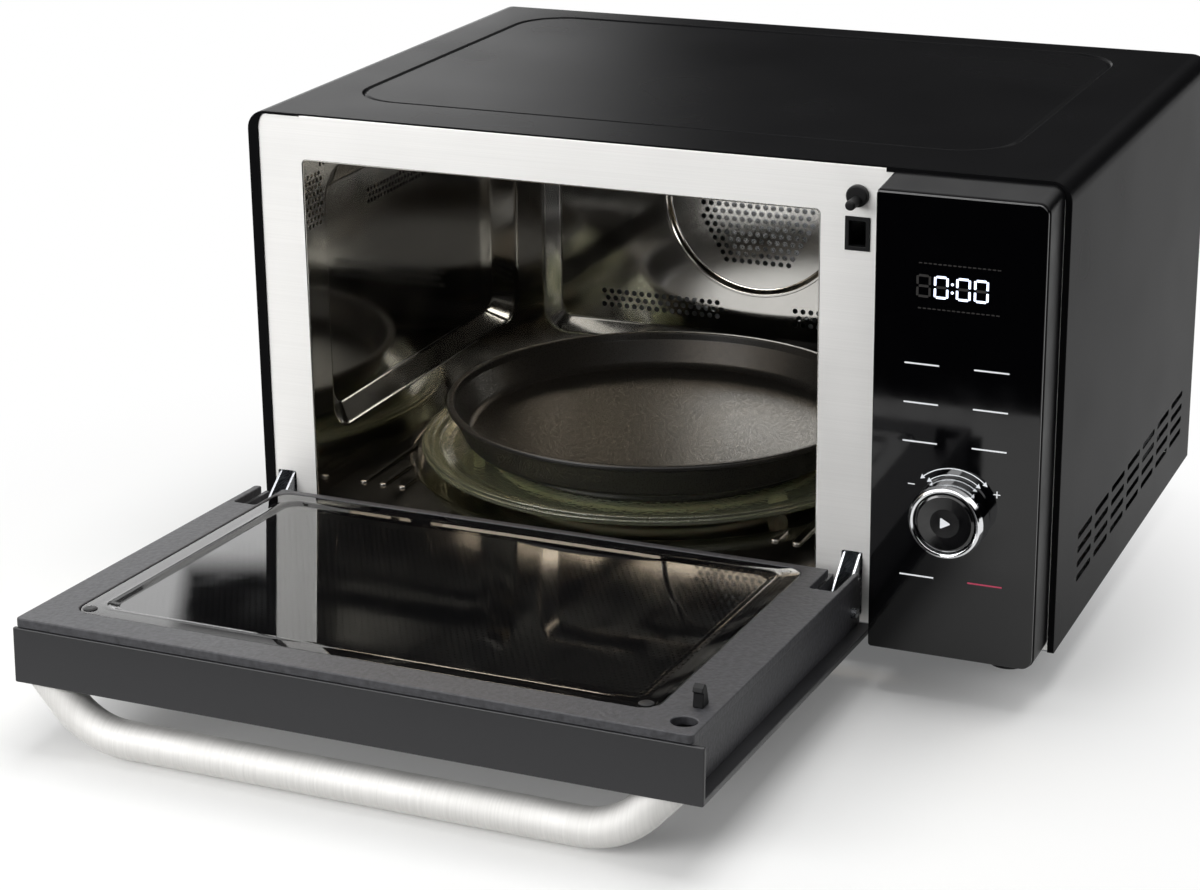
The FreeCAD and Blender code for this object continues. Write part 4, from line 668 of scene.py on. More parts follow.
def wrapper_shell():
    """Folded black sheet: a roof with a pressed panel, round shoulders and a slotted right side."""
    low, high = span("outer_wrapper")
    half, roof, depth = high.x, high.z, high.y
    flat = half - ROOF_ROUND
    shoulder = roof - ROOF_ROUND
    turns = [math.pi / 2 * step / ROOF_STEPS for step in range(ROOF_STEPS + 1)]
    bm = bmesh.new()
    press = ((PRESS_LEFT - half, half - PRESS_RIGHT), (PRESS_FRONT, depth - PRESS_REAR))
    rings = []
    for step, drop in PRESS_STEPS:
        panel = rect(inset(press[0], step), inset(press[1], step))
        rings.append(level(rounded(panel, PRESS_ROUND - step, steps=10), roof - drop))
    filled(bm, [level(rect((-flat, flat), (0, depth)), roof), rings[0]])
    bm.from_mesh(skin(rings))
    for side in (-1, 1):
        edge = [(side * (flat + ROOF_ROUND * math.sin(turn)), shoulder + ROOF_ROUND * math.cos(turn))
                for turn in turns]
        for (x, z), (next_x, next_z) in zip(edge, edge[1:]):
            corners = ((x, 0, z), (x, depth, z), (next_x, depth, next_z), (next_x, 0, next_z))
            bm.faces.new([bm.verts.new(corner) for corner in corners])
    side_loops = [rect((0, depth), (0, shoulder))]
    filled(bm, [[(-half, y, z) for y, z in side_loops[0]]])
    for column in range(VENT_COLUMNS):
        start = VENT_START + VENT_PITCH * column
        for line in range(VENT_ROWS):
            base = VENT_LOW + VENT_RISE * line
            slot = rect((start, start + VENT_LENGTH), (base, base + VENT_HEIGHT))
            side_loops.append(rounded(slot, VENT_HEIGHT / 2 - 0.1))
    filled(bm, [[(half, y, z) for y, z in loop] for loop in side_loops])
    shell = made(bm)
    up = [polygon for polygon in shell.polygons if abs(polygon.normal.z) > 0.99]
    if sum(polygon.normal.z * polygon.area for polygon in up) < 0:
        shell.flip_normals()
    stand_in("wrapper_shell", worked(shell, THICKENED), BLACK_COAT, "outer_wrapper", angle=25)
    outer = [(flat + ROOF_ROUND * math.cos(turn), shoulder + ROOF_ROUND * math.sin(turn)) for turn in turns]
    for name, side, width, reach, drop in HEMS:
        inner = [(half - width + (math.cos(turn) - 1) * (ROOF_ROUND - width),
                  shoulder + (ROOF_ROUND - drop) * math.sin(turn)) for turn in turns]
        outline = [(half, HEM_EDGE), *outer, (flat - reach, roof), (flat - reach, roof - drop),
                   *inner[::-1], (half - width, HEM_EDGE)]
        hem = plate([[(side * x, z) for x, z in outline]], 0, -low.y, HEM_EDGE)
        piece(name, placed(hem, FRONTWARD), BLACK_COAT, "outer_wrapper")


def front_plate():
    """Brushed front with the cavity opening, and the holes for the hinges and the lock."""
    low, high = span("front_plate")
    heights = (CAV_LOW - OPENING_STEP, CAV_TOP - OPENING_STEP)
    opening = rounded(rect(inset((CAV_LEFT, CAV_RIGHT), OPENING_STEP), heights), OPENING_ROUND)
    loops = [rounded(front_rect("front_plate"), PLATE_ROUNDS), opening]
    for side in ("left", "right"):
        slot = rect(around(middle_of("hinge_bracket_" + side).x, HINGE_SLOT_HALF), HINGE_SLOT_ENDS)
        loops.append(rounded(slot, HINGE_SLOT_ROUND))
    loops.append(front_rect("interlock_bezel", grow=-1))
    sheet = plate(loops, -high.y, -low.y, PLATE_EDGE)
    stand_in("brushed_front", placed(sheet, FRONTWARD), FRONT_STEEL, "front_plate")
    lip = drawn([opening], dimensions="3D", bevel_depth=LIP, bevel_resolution=3)
    piece("opening_lip", placed(lip, FRONTWARD, (0, low.y + LIP, 0)), CAVITY_STEEL, "front_plate")


def feet():
    """Tapered rubber feet with a rounded tread."""
    for node in ("foot_front_left", "foot_front_right", "foot_rear_left", "foot_rear_right"):
        low, high = span(node)
        radius = (high.x - low.x) / 2
        outline = [(radius * share, low.z + rise) for share, rise in FOOT_TREAD]
        outline += [(radius, high.z), (0, high.z)]
        mesh = turned(node, UPWARD, outline, FOOT_ROUNDS, 3, 48)
        stand_in(node + "_rubber", mesh, RUBBER, node)


def rear_screws():
    """Domed screw heads with a cross recess, in two rows on the rear panel."""
    low, high = span("rear_panel")
    head = lathe([(SCREW_RADIUS * share, height) for share, height in SCREW_DOME], steps=20)
    bar = block(around(0, SCREW_RADIUS * 0.62), around(0, 0.42), (0.6, 3), 0.02)
    cross = joined(bar, placed(bar.copy(), Matrix.Rotation(math.pi / 2, 4, "Z")))
    cutter = bpy.data.objects.new("cross", cross)
    scene.collection.objects.link(cutter)
    head = worked(head, ("BOOLEAN", {"object": cutter, "operation": "DIFFERENCE", "use_self": True}))
    bpy.data.objects.remove(cutter)
    step = (high.x - low.x - 2 * SCREW_INSET) / (SCREW_COLUMNS - 1)
    grid = worked(head, repeated(SCREW_COLUMNS, 2, (step, 0, 0), (0, SCREW_RISE, 0), BRIGHT_ZINC))
    start = (high.x - SCREW_INSET, high.y, low.z + SCREW_LOW)
    piece("rear_screws", placed(grid, REARWARD, start), BRIGHT_ZINC, "rear_panel")


# Cavity

# Pressed panels of the walls: outline of the edge and of the floor, and depth
LEFT_OUTER = ((30.0, 316.0), (62.0, 238.0))
LEFT_FLOOR = ((47.0, 284.0), (77.0, 222.0))
LEFT_DEPTH, LEFT_ROUNDS = 9.0, (22, 12)
REAR_OUTER = ((-215.5, 106.0), (45.0, 240.0))
REAR_BEVEL, REAR_DEPTH, REAR_ROUNDS = 15.0, 3.0, (18, 8)
# Air holes of the left wall: columns, rows and middle
LEFT_PITCH, LEFT_HOLE = 4.6, 1.5
LEFT_FIELDS = ((24, 3, (158, 203, -LEFT_DEPTH)), (5, 9, (15, 222, 0)), (6, 2, (38, 245, 0)))
# Air holes of the rear wall: the fan's grille, and a low strip on each side
REAR_PITCH, REAR_HOLE = 5.9, 2.0
GRILLE_COLUMNS, GRILLE_ROWS = 15, 19
STRIP_COLUMNS, STRIP_ROWS, STRIP_OFFSET, STRIP_RISE = 16, 3, 74.0, 75.5
# Fan dish: hole for it in the panel, and its outline in radius and height with the rounding of each corner
DISH_HOLE = 69.4
DISH_OUTLINE = ((0, -2.6), (66.2, -2.6), (68.2, 0.1), (69.0, 0.6), (70.6, 0.6), (71.2, 0.02),
                (DISH_HOLE - 0.2, 0.02), (67.2, -3.4), (0, -3.4))
DISH_ROUNDS = (0, 1.6, 0.6, 0.5, 0.5, 0.2, 0.1, 1.6, 0)
# Floor: gap between the tray and the well, the well's slope, and the bore for the drive
WELL_GAP, WELL_SLOPE, WELL_BORE = 3.0, 5.0, 7.5
# Ribs of the floor: distance from the middle, and how far back each one runs
FLOOR_RIBS = ((156.5, 116.0), (142.5, 80.0), (128.5, 58.0))
RIB_FRONT, RIB_HALF, RIB_RISE = 38.0, 3.4, 1.8
# Share across and share down of a pressed step: a flat slope between two small rounds
SLOPE = ((0.0, 0.0), (0.05, 0.01), (0.12, 0.06), (0.2, 0.15),
         (0.8, 0.85), (0.88, 0.94), (0.95, 0.99), (1.0, 1.0))


def pressed(outer, edge, floor, depth, rounds):
    """Sheet with a panel pressed away from +Z between an edge outline and a floor outline."""
    rings = [level(rounded(rect(*outer), 0.01, steps=8), 0)]
    for share, fall in SLOPE:
        across = [e + (f - e) * share for e, f in zip(edge[0], floor[0])]
        upward = [e + (f - e) * share for e, f in zip(edge[1], floor[1])]
        radius = rounds[0] + (rounds[1] - rounds[0]) * share
        rings.append(level(rounded(rect(across, upward), radius, steps=8), -depth * fall))
    return skin(rings)


def left_wall():
    """Polished left wall with its bevelled pressed panel and its air holes."""
    outer = ((CAV_FRONT, CAV_REAR), (CAV_LOW, CAV_TOP))
    sheet = pressed(outer, LEFT_OUTER, LEFT_FLOOR, LEFT_DEPTH, LEFT_ROUNDS)
    fields = [holes(LEFT_PITCH, LEFT_HOLE, columns, rows, spot, CAVITY_STEEL, sides=10)
              for columns, rows, spot in LEFT_FIELDS]
    sheet = placed(worked(sheet, THICKENED, *fields), RIGHTWARD, (CAV_LEFT, 0, 0))
    stand_in("left_wall_pressing", sheet, CAVITY_STEEL, "cavity_left_wall", angle=30)


def rear_wall():
    """Polished rear wall: a pressed panel, two low air strips, and the fan's dish with its grille."""
    middle = middle_of("convection_fan")
    outer = ((CAV_LEFT, CAV_RIGHT), (CAV_LOW, CAV_TOP))
    floor = [inset(pair, REAR_BEVEL) for pair in REAR_OUTER]
    sheet = pressed(outer, REAR_OUTER, floor, REAR_DEPTH, REAR_ROUNDS)
    fields = [holes(1.0, DISH_HOLE, 1, 1, (middle.x, middle.z, -REAR_DEPTH), CAVITY_STEEL, sides=96)]
    for side in (-1, 1):
        spot = (middle.x + side * STRIP_OFFSET, STRIP_RISE, -REAR_DEPTH)
        fields.append(holes(REAR_PITCH, REAR_HOLE, STRIP_COLUMNS, STRIP_ROWS, spot, CAVITY_STEEL, sides=10))
    sheet = placed(worked(sheet, THICKENED, *fields), FRONTWARD, (0, CAV_REAR - REAR_DEPTH, 0))
    stand_in("rear_wall_pressing", sheet, CAVITY_STEEL, "cavity_rear_wall", angle=30)
    dish = lathe(rounded(DISH_OUTLINE, DISH_ROUNDS, 4), steps=128)
    reach = (GRILLE_ROWS // 2) * REAR_PITCH * HEX_RISE + 0.2
    wide = (GRILLE_COLUMNS // 2 + 0.1) * REAR_PITCH
    dish = worked(dish, holes(REAR_PITCH, REAR_HOLE, GRILLE_COLUMNS, GRILLE_ROWS, (0, 0, 0), CAVITY_STEEL,
                              reach=reach, wide=wide))
    dish = placed(dish, FRONTWARD, (middle.x, CAV_REAR, middle.z))
    piece("fan_dish", dish, CAVITY_STEEL, "cavity_rear_wall", angle=30)


def cavity_floor():
    """Floor with a round well and pressed ribs in its corners."""
    low, high = span("cavity_floor")
    tray = span("glass_tray")
    middle = middle_of("glass_tray")
    well = (tray[1].x - tray[0].x) / 2 + WELL_GAP
    steps = 96
    rim = disc(middle.x, middle.y, well + WELL_SLOPE, steps)
    outer = rounded(rect(inset((low.x, high.x), WALL_DEPTH), (low.y, high.y)), 0.5)
    top = plate([outer, rim], CAV_LOW - SHEET_DEPTH, CAV_LOW)
    under = ((WELL_BORE, 0.2), (well - 3, 0.2), (well + 1, 2.0))
    slope = ((well + 3, 2.5), (well + 5.2, 0.4), (well + 5.2, 0.0), (well + 3.6, 0.3), (well + 1.8, 2.5))
    over = ((well, 3.2), (well - 4, 1.2), (WELL_BORE, 1.2))
    outline = [(radius, low.z + rise) for radius, rise in under]
    outline += [(radius, CAV_LOW - drop) for radius, drop in slope]
    outline += [(radius, low.z + rise) for radius, rise in over]
    bowl = placed(lathe(outline, steps), UPWARD, (middle.x, middle.y, 0))
    stand_in("floor_pressing", joined(top, bowl), FLOOR_STEEL, "cavity_floor")
    for name, side in (("left", -1), ("right", 1)):
        ribs = []
        for across, rear in FLOOR_RIBS:
            line = middle.x + side * across
            outline = rounded(rect(around(line, RIB_HALF), (RIB_FRONT, rear)), RIB_HALF - 0.01, steps=6)
            ribs.append(plate([outline], CAV_LOW - RIB_RISE, CAV_LOW + RIB_RISE, RIB_RISE - 0.2, 3))
        piece("floor_ribs_" + name, joined(*ribs), FLOOR_STEEL, "cavity_floor")


# Turntable and pan

# Tray: distances in from the rim with heights above its base, then with drops below its rim, and its floor
TRAY_UNDER = ((24, 0), (20, 1.2), (16, 0.6), (12, 2.4), (8, 2.2), (4, 4.4), (0, 4.4))
TRAY_RIM = ((0, 2.4), (1.2, 2.4), (1.2, 0), (4.2, 0), (4.8, 1.2),
            (7.5, 1.2), (8.2, 2.6), (12, 2.6), (13, 4.2))
TRAY_SLOPE, TRAY_DEPTH = 21, 4
TRAY_ROUNDS = (0, 2, 1, 1, 1, 1, 1, 1.2, 1, 0.4, 0.9, 0.9, 0.4, 0.7, 0.5, 0.9, 0.7, 3, 0)
# Pan: foot ring, height and depth of its floor, distances in from the rim, and the rim itself as for the tray
FOOT_RING, PAN_LIFT, PAN_DEPTH, PAN_UNDER, PAN_OVER = (110, 115), 8, 2.5, 12, 14.5
PAN_RIM = ((2.2, 4), (0, 3), (0, 0), (4.4, 0), (5.2, 5))
PAN_ROUNDS = (0, 0.8, 1, 1, 0.8, 7, 1.2, 0.8, 1.4, 1.2, 1, 7, 0)


def glass_tray():
    """Pressed glass tray: thick rounded rim, and stepped rings over and under its slope."""
    low, high = span("glass_tray")
    radius = (high.x - low.x) / 2
    floor = low.z + TRAY_DEPTH
    outline = [(0, low.z)]
    outline += [(radius - inward, low.z + rise) for inward, rise in TRAY_UNDER]
    outline += [(radius - inward, high.z - drop) for inward, drop in TRAY_RIM]
    outline += [(radius - TRAY_SLOPE, floor), (0, floor)]
    mesh = turned("glass_tray", UPWARD, outline, TRAY_ROUNDS, 3, 128)
    stand_in("ribbed_tray", mesh, TRAY_GLASS, "glass_tray")


def crisp_pan():
    """Browning pan: sloping wall, rolled rim and a foot ring."""
    low, high = span("crisp_pan")
    radius = (high.x - low.x) / 2
    base = low.z + PAN_LIFT
    floor = base + PAN_DEPTH
    inner, outer = FOOT_RING
    outline = [(0, base), (inner, base), (inner, low.z), (outer, low.z), (outer, base)]
    outline.append((radius - PAN_UNDER, base))
    outline += [(radius - inward, high.z - drop) for inward, drop in PAN_RIM]
    outline += [(radius - PAN_OVER, floor), (0, floor)]
    mesh = turned("crisp_pan", UPWARD, outline, PAN_ROUNDS, 5, 160)
    stand_in("browning_pan", mesh, NONSTICK, "crisp_pan")


# Door

# Hinge notches and lock hole of the frame, and its edges
NOTCH_HALF, NOTCH_TOP, CATCH_DROP, CATCH_HOLE, FRAME_EDGE = 7.6, 31.0, 6.5, 7.0, 0.9
FRAME_ROUNDS = [2.5] + [1.2, 2, 2, 1.2] * 2 + [2.5, 3, 3]
SEAT_GAP, SEAT_ROUND = 0.4, 11.4
# Inner glass from its rim inward: distance, height from its face and corner radius
COVER_STEPS = ((0.0, -3.0, 11), (0.0, -0.9, 11), (0.7, -0.35, 10.5), (8.5, -0.35, 10), (9.6, -0.05, 10),
               (11.4, 0.0, 10), (13.0, -0.4, 10), (15.0, -1.5, 10), (16.2, -1.7, 10))
# Screw caps: outline, rounding, distance from the glass's edges, and how deep they sit
CAP_OUTLINE = ((0, -0.6), (4.2, -0.6), (4.2, 0.5), (2.4, 0.9), (0, 0.9))
CAP_ROUNDS, CAP_INSET, CAP_SINK = (0, 0.2, 0.5, 0.5, 0), 7.0, 0.4
SCREEN_PITCH, SCREEN_HOLE, SCREEN_MARGIN = 4.0, 1.15, 16.0
# Handle: slope of its legs in degrees, bend radius, and the ease that keeps it inside the CAD's tube
LEG_LEAN, LEG_BEND, TUBE_EASE = 48.0, 50.0, 0.3
# Side of the latch, as shares of its height and depth
LATCH_PROFILE = ((0.0, 0.0), (0.0, 0.9), (0.6, 0.82), (0.68, 1.0),
                 (0.86, 0.92), (1.0, 0.66), (0.92, 0.46), (0.5, 0.22))
# Catch stud: outline of its flange with rounding, and its pin's radius, rounding and drop
FLANGE_OUTLINE = ((0, -5), (4, -5), (4, 0), (6.5, 0), (6.5, 4), (0, 4))
FLANGE_ROUNDS = (0, 0.3, 0.3, 0.3, 1.2, 0)
PIN_RADIUS, PIN_ROUND, PIN_DROP = 3.0, 1.6, 2.5


def door_frame():
    """Textured inner frame of the door, notched for the hinges, with rounded edges."""
    low, high = span("door_inner_frame", DOOR)
    outline = [(low.x, low.z)]
    for side in ("left", "right"):
        first, last = around(middle_of("hinge_pin_" + side, DOOR).x, NOTCH_HALF)
        outline += [(first, low.z), (first, NOTCH_TOP), (last, NOTCH_TOP), (last, low.z)]
    outline += [(high.x, low.z), (high.x, high.z), (low.x, high.z)]
    seat = rounded(front_rect("door_inner_glass", DOOR, SEAT_GAP), SEAT_ROUND, steps=8)
    catch_height = span("catch_stud")[1].z - CATCH_DROP - HINGE_RISE
    catch = disc(middle_of("latch_hook", DOOR).x, catch_height, CATCH_HOLE)
    mesh = plate([rounded(outline, FRAME_ROUNDS), seat, catch], -high.y, -low.y, FRAME_EDGE, steps=3)
    stand_in("textured_frame", placed(mesh, FRONTWARD), FRAME_PLASTIC, "door_inner_frame", DOOR)


def door_cover():
    """Gloss black inner glass: a flat border, a raised bead and a dished window."""
    low, high = span("door_inner_glass", DOOR)
    rings = []
    for step, height, radius in COVER_STEPS:
        loop = rect(inset((-high.x, -low.x), step), inset((low.z, high.z), step))
        rings.append(level(rounded(loop, radius, steps=8), high.y + height))
    mesh = placed(skin(rings, foot=True), REARWARD)
    stand_in("dished_glass", mesh, DOOR_GLOSS, "door_inner_glass", DOOR, angle=50)
    cap = lathe(rounded(CAP_OUTLINE, CAP_ROUNDS, 3), 32)
    caps = worked(cap, repeated(2, 1, (high.x - low.x - 2 * CAP_INSET, 0, 0), (0, 0, 1), MOULDING))
    caps = placed(caps, REARWARD @ Matrix.Scale(-1, 4, (1, 0, 0)),
                  (low.x + CAP_INSET, high.y - CAP_SINK, high.z - CAP_INSET))
    caps.flip_normals()
    piece("screw_caps", caps, MOULDING, "door_inner_glass", DOOR)


def door_screen():
    """Punched screen behind the inner glass."""
    low, high = span("door_mesh", DOOR)
    middle = middle_of("door_mesh", DOOR)
    sheet = plate([rounded(front_rect("door_mesh", DOOR), 3)], -high.y, -low.y)
    columns = int((high.x - low.x - SCREEN_MARGIN) / SCREEN_PITCH)
    rows = int((high.z - low.z - SCREEN_MARGIN) / (SCREEN_PITCH * HEX_RISE))
    field = holes(SCREEN_PITCH, SCREEN_HOLE, columns, rows, (middle.x, middle.z, -middle.y), SCREEN,
                  sides=6, depth=4.0)
    sheet = placed(worked(sheet, field), FRONTWARD)
    stand_in("punched_screen", sheet, SCREEN, "door_mesh", DOOR, angle=30)


def handle():
    """Bent satin tube whose two legs spread towards the door and are cut flush with its skin."""
    low, high = span("handle_tube", DOOR)
    radius = (high.z - low.z) / 2
    bar = low.y + radius
    slope = math.radians(LEG_LEAN)
    foot = radius / math.sin(slope)
    run = (high.y - bar) / math.tan(slope)
    over = 2 * radius
    end = high.y + over * math.tan(slope)
    line = [(low.x + foot - over, end), (low.x + foot + run, bar),
            (high.x - foot - run, bar), (high.x - foot + over, end)]
    bent = rounded(line, [0, LEG_BEND, LEG_BEND, 0], steps=14)
    bm = bmesh.new()
    bm.from_mesh(tube(level(bent, (low.z + high.z) / 2), radius - TUBE_EASE, steps=10))
    parts = bm.verts[:] + bm.edges[:] + bm.faces[:]
    bmesh.ops.bisect_plane(bm, geom=parts, plane_co=(0, high.y, 0), plane_no=(0, 1, 0), clear_outer=True)
    bmesh.ops.holes_fill(bm, edges=[edge for edge in bm.edges if edge.is_boundary])
    stand_in("handle_bar", made(bm), HANDLE_STEEL, "handle_tube", DOOR, angle=45)


def latch():
    """Moulded latch fin: upright towards the door's edge, hooked at its tip, sloping down behind."""
    low, high = span("latch_hook", DOOR)
    tall, deep = high.y - low.y, high.z - low.z
    profile = [(low.y + tall * up, low.z + deep * along) for up, along in LATCH_PROFILE]
    mesh = plate([rounded(profile, 0.6, steps=3)], low.x + 1, high.x - 1, 0.6)
    stand_in("latch_nose", placed(mesh, RIGHTWARD), MOULDING, "latch_hook", DOOR)


def catch_stud():
    """Moulded catch stud: a round flange and an off-centre pin with a rounded tip."""
    low, high = span("catch_stud")
    flange = lathe(rounded(FLANGE_OUTLINE, FLANGE_ROUNDS, 4), 40)
    pin_outline = [(0, 1), (PIN_RADIUS, 1), (PIN_RADIUS, -low.y), (0, -low.y)]
    pin = lathe(rounded(pin_outline, [0, 0, PIN_ROUND, 0], 5), 32)
    mesh = joined(flange, placed(pin, UPWARD, (0, -PIN_DROP, 0)))
    mesh = placed(mesh, FRONTWARD, (middle_of("catch_stud").x, 0, high.z - CATCH_DROP))
    stand_in("catch_pin", mesh, MOULDING, "catch_stud")


# Control panel

# Surround and pane: rounding of their corners and edges, and the gap over the pane
SURROUND_ROUNDS, SURROUND_EDGE, SURROUND_GAP = (2.5, 7, 7, 2.5), 1.3, 0.6
PANE_ROUNDS, PANE_EDGE = (2, 6.4, 6.4, 2), 0.7
# How far prints stand out of the glass and reach into it
PRINT_LIFT, PRINT_ROOT = 0.12, 0.05
KEY_COLUMNS = (176.2, 216.5)
KEY_LENGTH, KEY_STROKE = 20.2, 0.9
KEY_LOW, KEY_PITCH = 131.2, 23.1
LOW_KEY_LINE = 49.9
DIGIT_WIDTH, DIGIT_HEIGHT, DIGIT_STROKE = 8.4, 13.2, 1.35
DIGIT_LEFT = (192.1, 204.8, 215.0)
DIGIT_LOW = 216.8
BLANK_LEFT = 182.0
COLON_MIDDLE, COLON_RADIUS, COLON_SHARES = 202.7, 0.85, (0.32, 0.68)
# Two rows of unlit dashes, over and under the digits
DASH_START, DASH_COUNT, DASH_STEP, DASH_RISE = (183.2, 210.2), 17, 2.8, 26.0
DASH_LENGTH, DASH_STROKE = 1.9, 0.7
# Turning marks: radius, stroke and ends in degrees of each arc, and the size of its arrow heads
TURN_ARCS = ((27.2, 0.55, 44, 136), (23.4, 0.45, 48, 132))
ARROW_HALF, ARROW_LENGTH = 1.5, 2.6
# Minus and plus beside the arcs, from the selector's middle
MINUS_PLACE, MINUS_LENGTH, MINUS_STROKE = (-26.8, 14.7), 4.0, 0.6
PLUS_PLACE, PLUS_REACH, PLUS_HALF = (25.2, 15.0), 2.0, 0.3
# Start arrow on the push cap: left, right and half height from its middle, and depth of the cap's dish there
ARROW_LEFT, ARROW_RIGHT, ARROW_RISE, ARROW_SINK = -2.6, 3.6, 3.4, 0.62


def panel_block():
    """Moulded surround of the control panel, with round right corners and a sloping top, and its pane."""
    low, high = span("panel_frame")
    glass = span("panel_glass")
    front_top = glass[1].z + SURROUND_GAP
    outline = rounded(rect((low.x, high.x), (low.z, front_top)), SURROUND_ROUNDS, steps=8)
    mesh = plate([outline], -high.y, -low.y, SURROUND_EDGE, steps=3)
    rise = (high.z - front_top) / (high.y - low.y)
    for vertex in mesh.vertices:
        if vertex.co.y > front_top - 10:
            vertex.co.y += rise * (-low.y - vertex.co.z)
    stand_in("panel_surround", placed(mesh, FRONTWARD), PANEL_PLASTIC, "panel_frame")
    outline = rounded(front_rect("panel_glass"), PANE_ROUNDS, steps=8)
    pane = plate([outline], -glass[1].y, -glass[0].y, PANE_EDGE, steps=3)
    stand_in("panel_pane", placed(pane, FRONTWARD), PANEL_GLASS, "panel_glass")


def printed(name, loops, finish, like="panel_glass", face=None):
    """Thin print on the front of the panel glass, or of another node at its face."""
    front = -span("panel_glass")[0].y if face is None else face
    marks = joined(*[plate([loop], front - PRINT_ROOT, front + PRINT_LIFT) for loop in loops])
    piece(name, placed(marks, FRONTWARD), finish, like)


def bar_loop(left, low, length, stroke):
    return rect((left, left + length), (low, low + stroke))


def digit_bars(left, low, shown):
    """Bars of a seven-bar numeral: top, upper right, lower right, bottom, lower left, upper left, middle."""
    stroke, right = DIGIT_STROKE, left + DIGIT_WIDTH
    half, top = low + DIGIT_HEIGHT / 2, low + DIGIT_HEIGHT
    levels = {0: top - stroke, 3: low, 6: half - stroke / 2}
    bars = []
    for index in shown:
        if index in levels:
            loop = rect((left + stroke, right - stroke), (levels[index], levels[index] + stroke))
        else:
            side = left if index in (4, 5) else right - stroke
            ends = (half, top) if index in (1, 5) else (low, half)
            loop = rect((side, side + stroke), inset(ends, stroke * 0.6))
        bars.append(rounded(loop, stroke * 0.3, 3))
    return bars


def arc_loop(middle, radius, stroke, first, last, steps=24):
    """Curved stroke with an arrow head at each end."""
    def at(distance, degrees):
        turn = math.radians(degrees)
        return (middle[0] + distance * math.cos(turn), middle[1] + distance * math.sin(turn))
    back = math.degrees(ARROW_LENGTH / radius)
    turns = [first + back + (last - first - 2 * back) * step / steps for step in range(steps + 1)]
    outer, inner = radius + ARROW_HALF, radius - ARROW_HALF
    loop = [at(radius + stroke / 2, turn) for turn in turns]
    loop += [at(outer, last - back), at(radius, last), at(inner, last - back)]
    loop += [at(radius - stroke / 2, turn) for turn in reversed(turns)]
    return loop + [at(inner, first + back), at(radius, first), at(outer, first + back)]


def panel_print():
    """Clock, key bars and the turning marks round the selector. All of it is generic."""
    zero = (0, 1, 2, 3, 4, 5)
    lit = [bar for left in DIGIT_LEFT for bar in digit_bars(left, DIGIT_LOW, zero)]
    lit += [disc(COLON_MIDDLE, DIGIT_LOW + DIGIT_HEIGHT * share, COLON_RADIUS, 10) for share in COLON_SHARES]
    printed("clock_digits", lit, LIT)
    unlit = digit_bars(BLANK_LEFT, DIGIT_LOW, range(7))
    unlit += [bar for left in DIGIT_LEFT for bar in digit_bars(left, DIGIT_LOW, (6,))]
    printed("clock_unlit", unlit, DIM_INK)
    front = span("panel_glass")[0].y
    dash = placed(plate([bar_loop(0, 0, DASH_LENGTH, DASH_STROKE)], 0, PRINT_LIFT), FRONTWARD)
    dashes = worked(dash, repeated(DASH_COUNT, 2, (DASH_STEP, 0, 0), (0, 0, DASH_RISE), DIM_INK))
    dashes = placed(dashes, UPWARD, (DASH_START[0], front, DASH_START[1]))
    piece("clock_dashes", dashes, DIM_INK, "panel_glass")
    left, right = KEY_COLUMNS
    bar = placed(plate([rounded(bar_loop(0, 0, KEY_LENGTH, KEY_STROKE), 0.3, 3)], 0, PRINT_LIFT), FRONTWARD)
    keys = worked(bar.copy(), repeated(2, 3, (right - left, 0, 0), (0, 0, KEY_PITCH), WHITE_PRINT_PAINTED_GLOW))
    for name, mesh, finish, column, line in (("key_bars", keys, WHITE_PRINT_PAINTED_GLOW, left, KEY_LOW),
                                             ("low_key_bar", bar.copy(), WHITE_PRINT_PAINTED_GLOW, left, LOW_KEY_LINE),
                                             ("stop_key_bar", bar, RED_PRINT_PAINTED_GLOW, right, LOW_KEY_LINE)):
        piece(name, placed(mesh, UPWARD, (column, front, line)), finish, "panel_glass")
    dial = middle_of("dial_ring")
    marks = [arc_loop((dial.x, dial.z), *arc) for arc in TURN_ARCS]
    marks.append(bar_loop(dial.x + MINUS_PLACE[0], dial.z + MINUS_PLACE[1], MINUS_LENGTH, MINUS_STROKE))
    plus = []
    for along, up in ((1, 0), (0, 1), (-1, 0), (0, -1)):
        for out, aside in ((PLUS_HALF, -PLUS_HALF), (PLUS_REACH, -PLUS_HALF), (PLUS_REACH, PLUS_HALF)):
            plus.append((dial.x + PLUS_PLACE[0] + along * out - up * aside,
                         dial.z + PLUS_PLACE[1] + up * out + along * aside))
    marks.append(plus)
    printed("turning_marks", marks, WHITE_PRINT_PAINTED_GLOW)


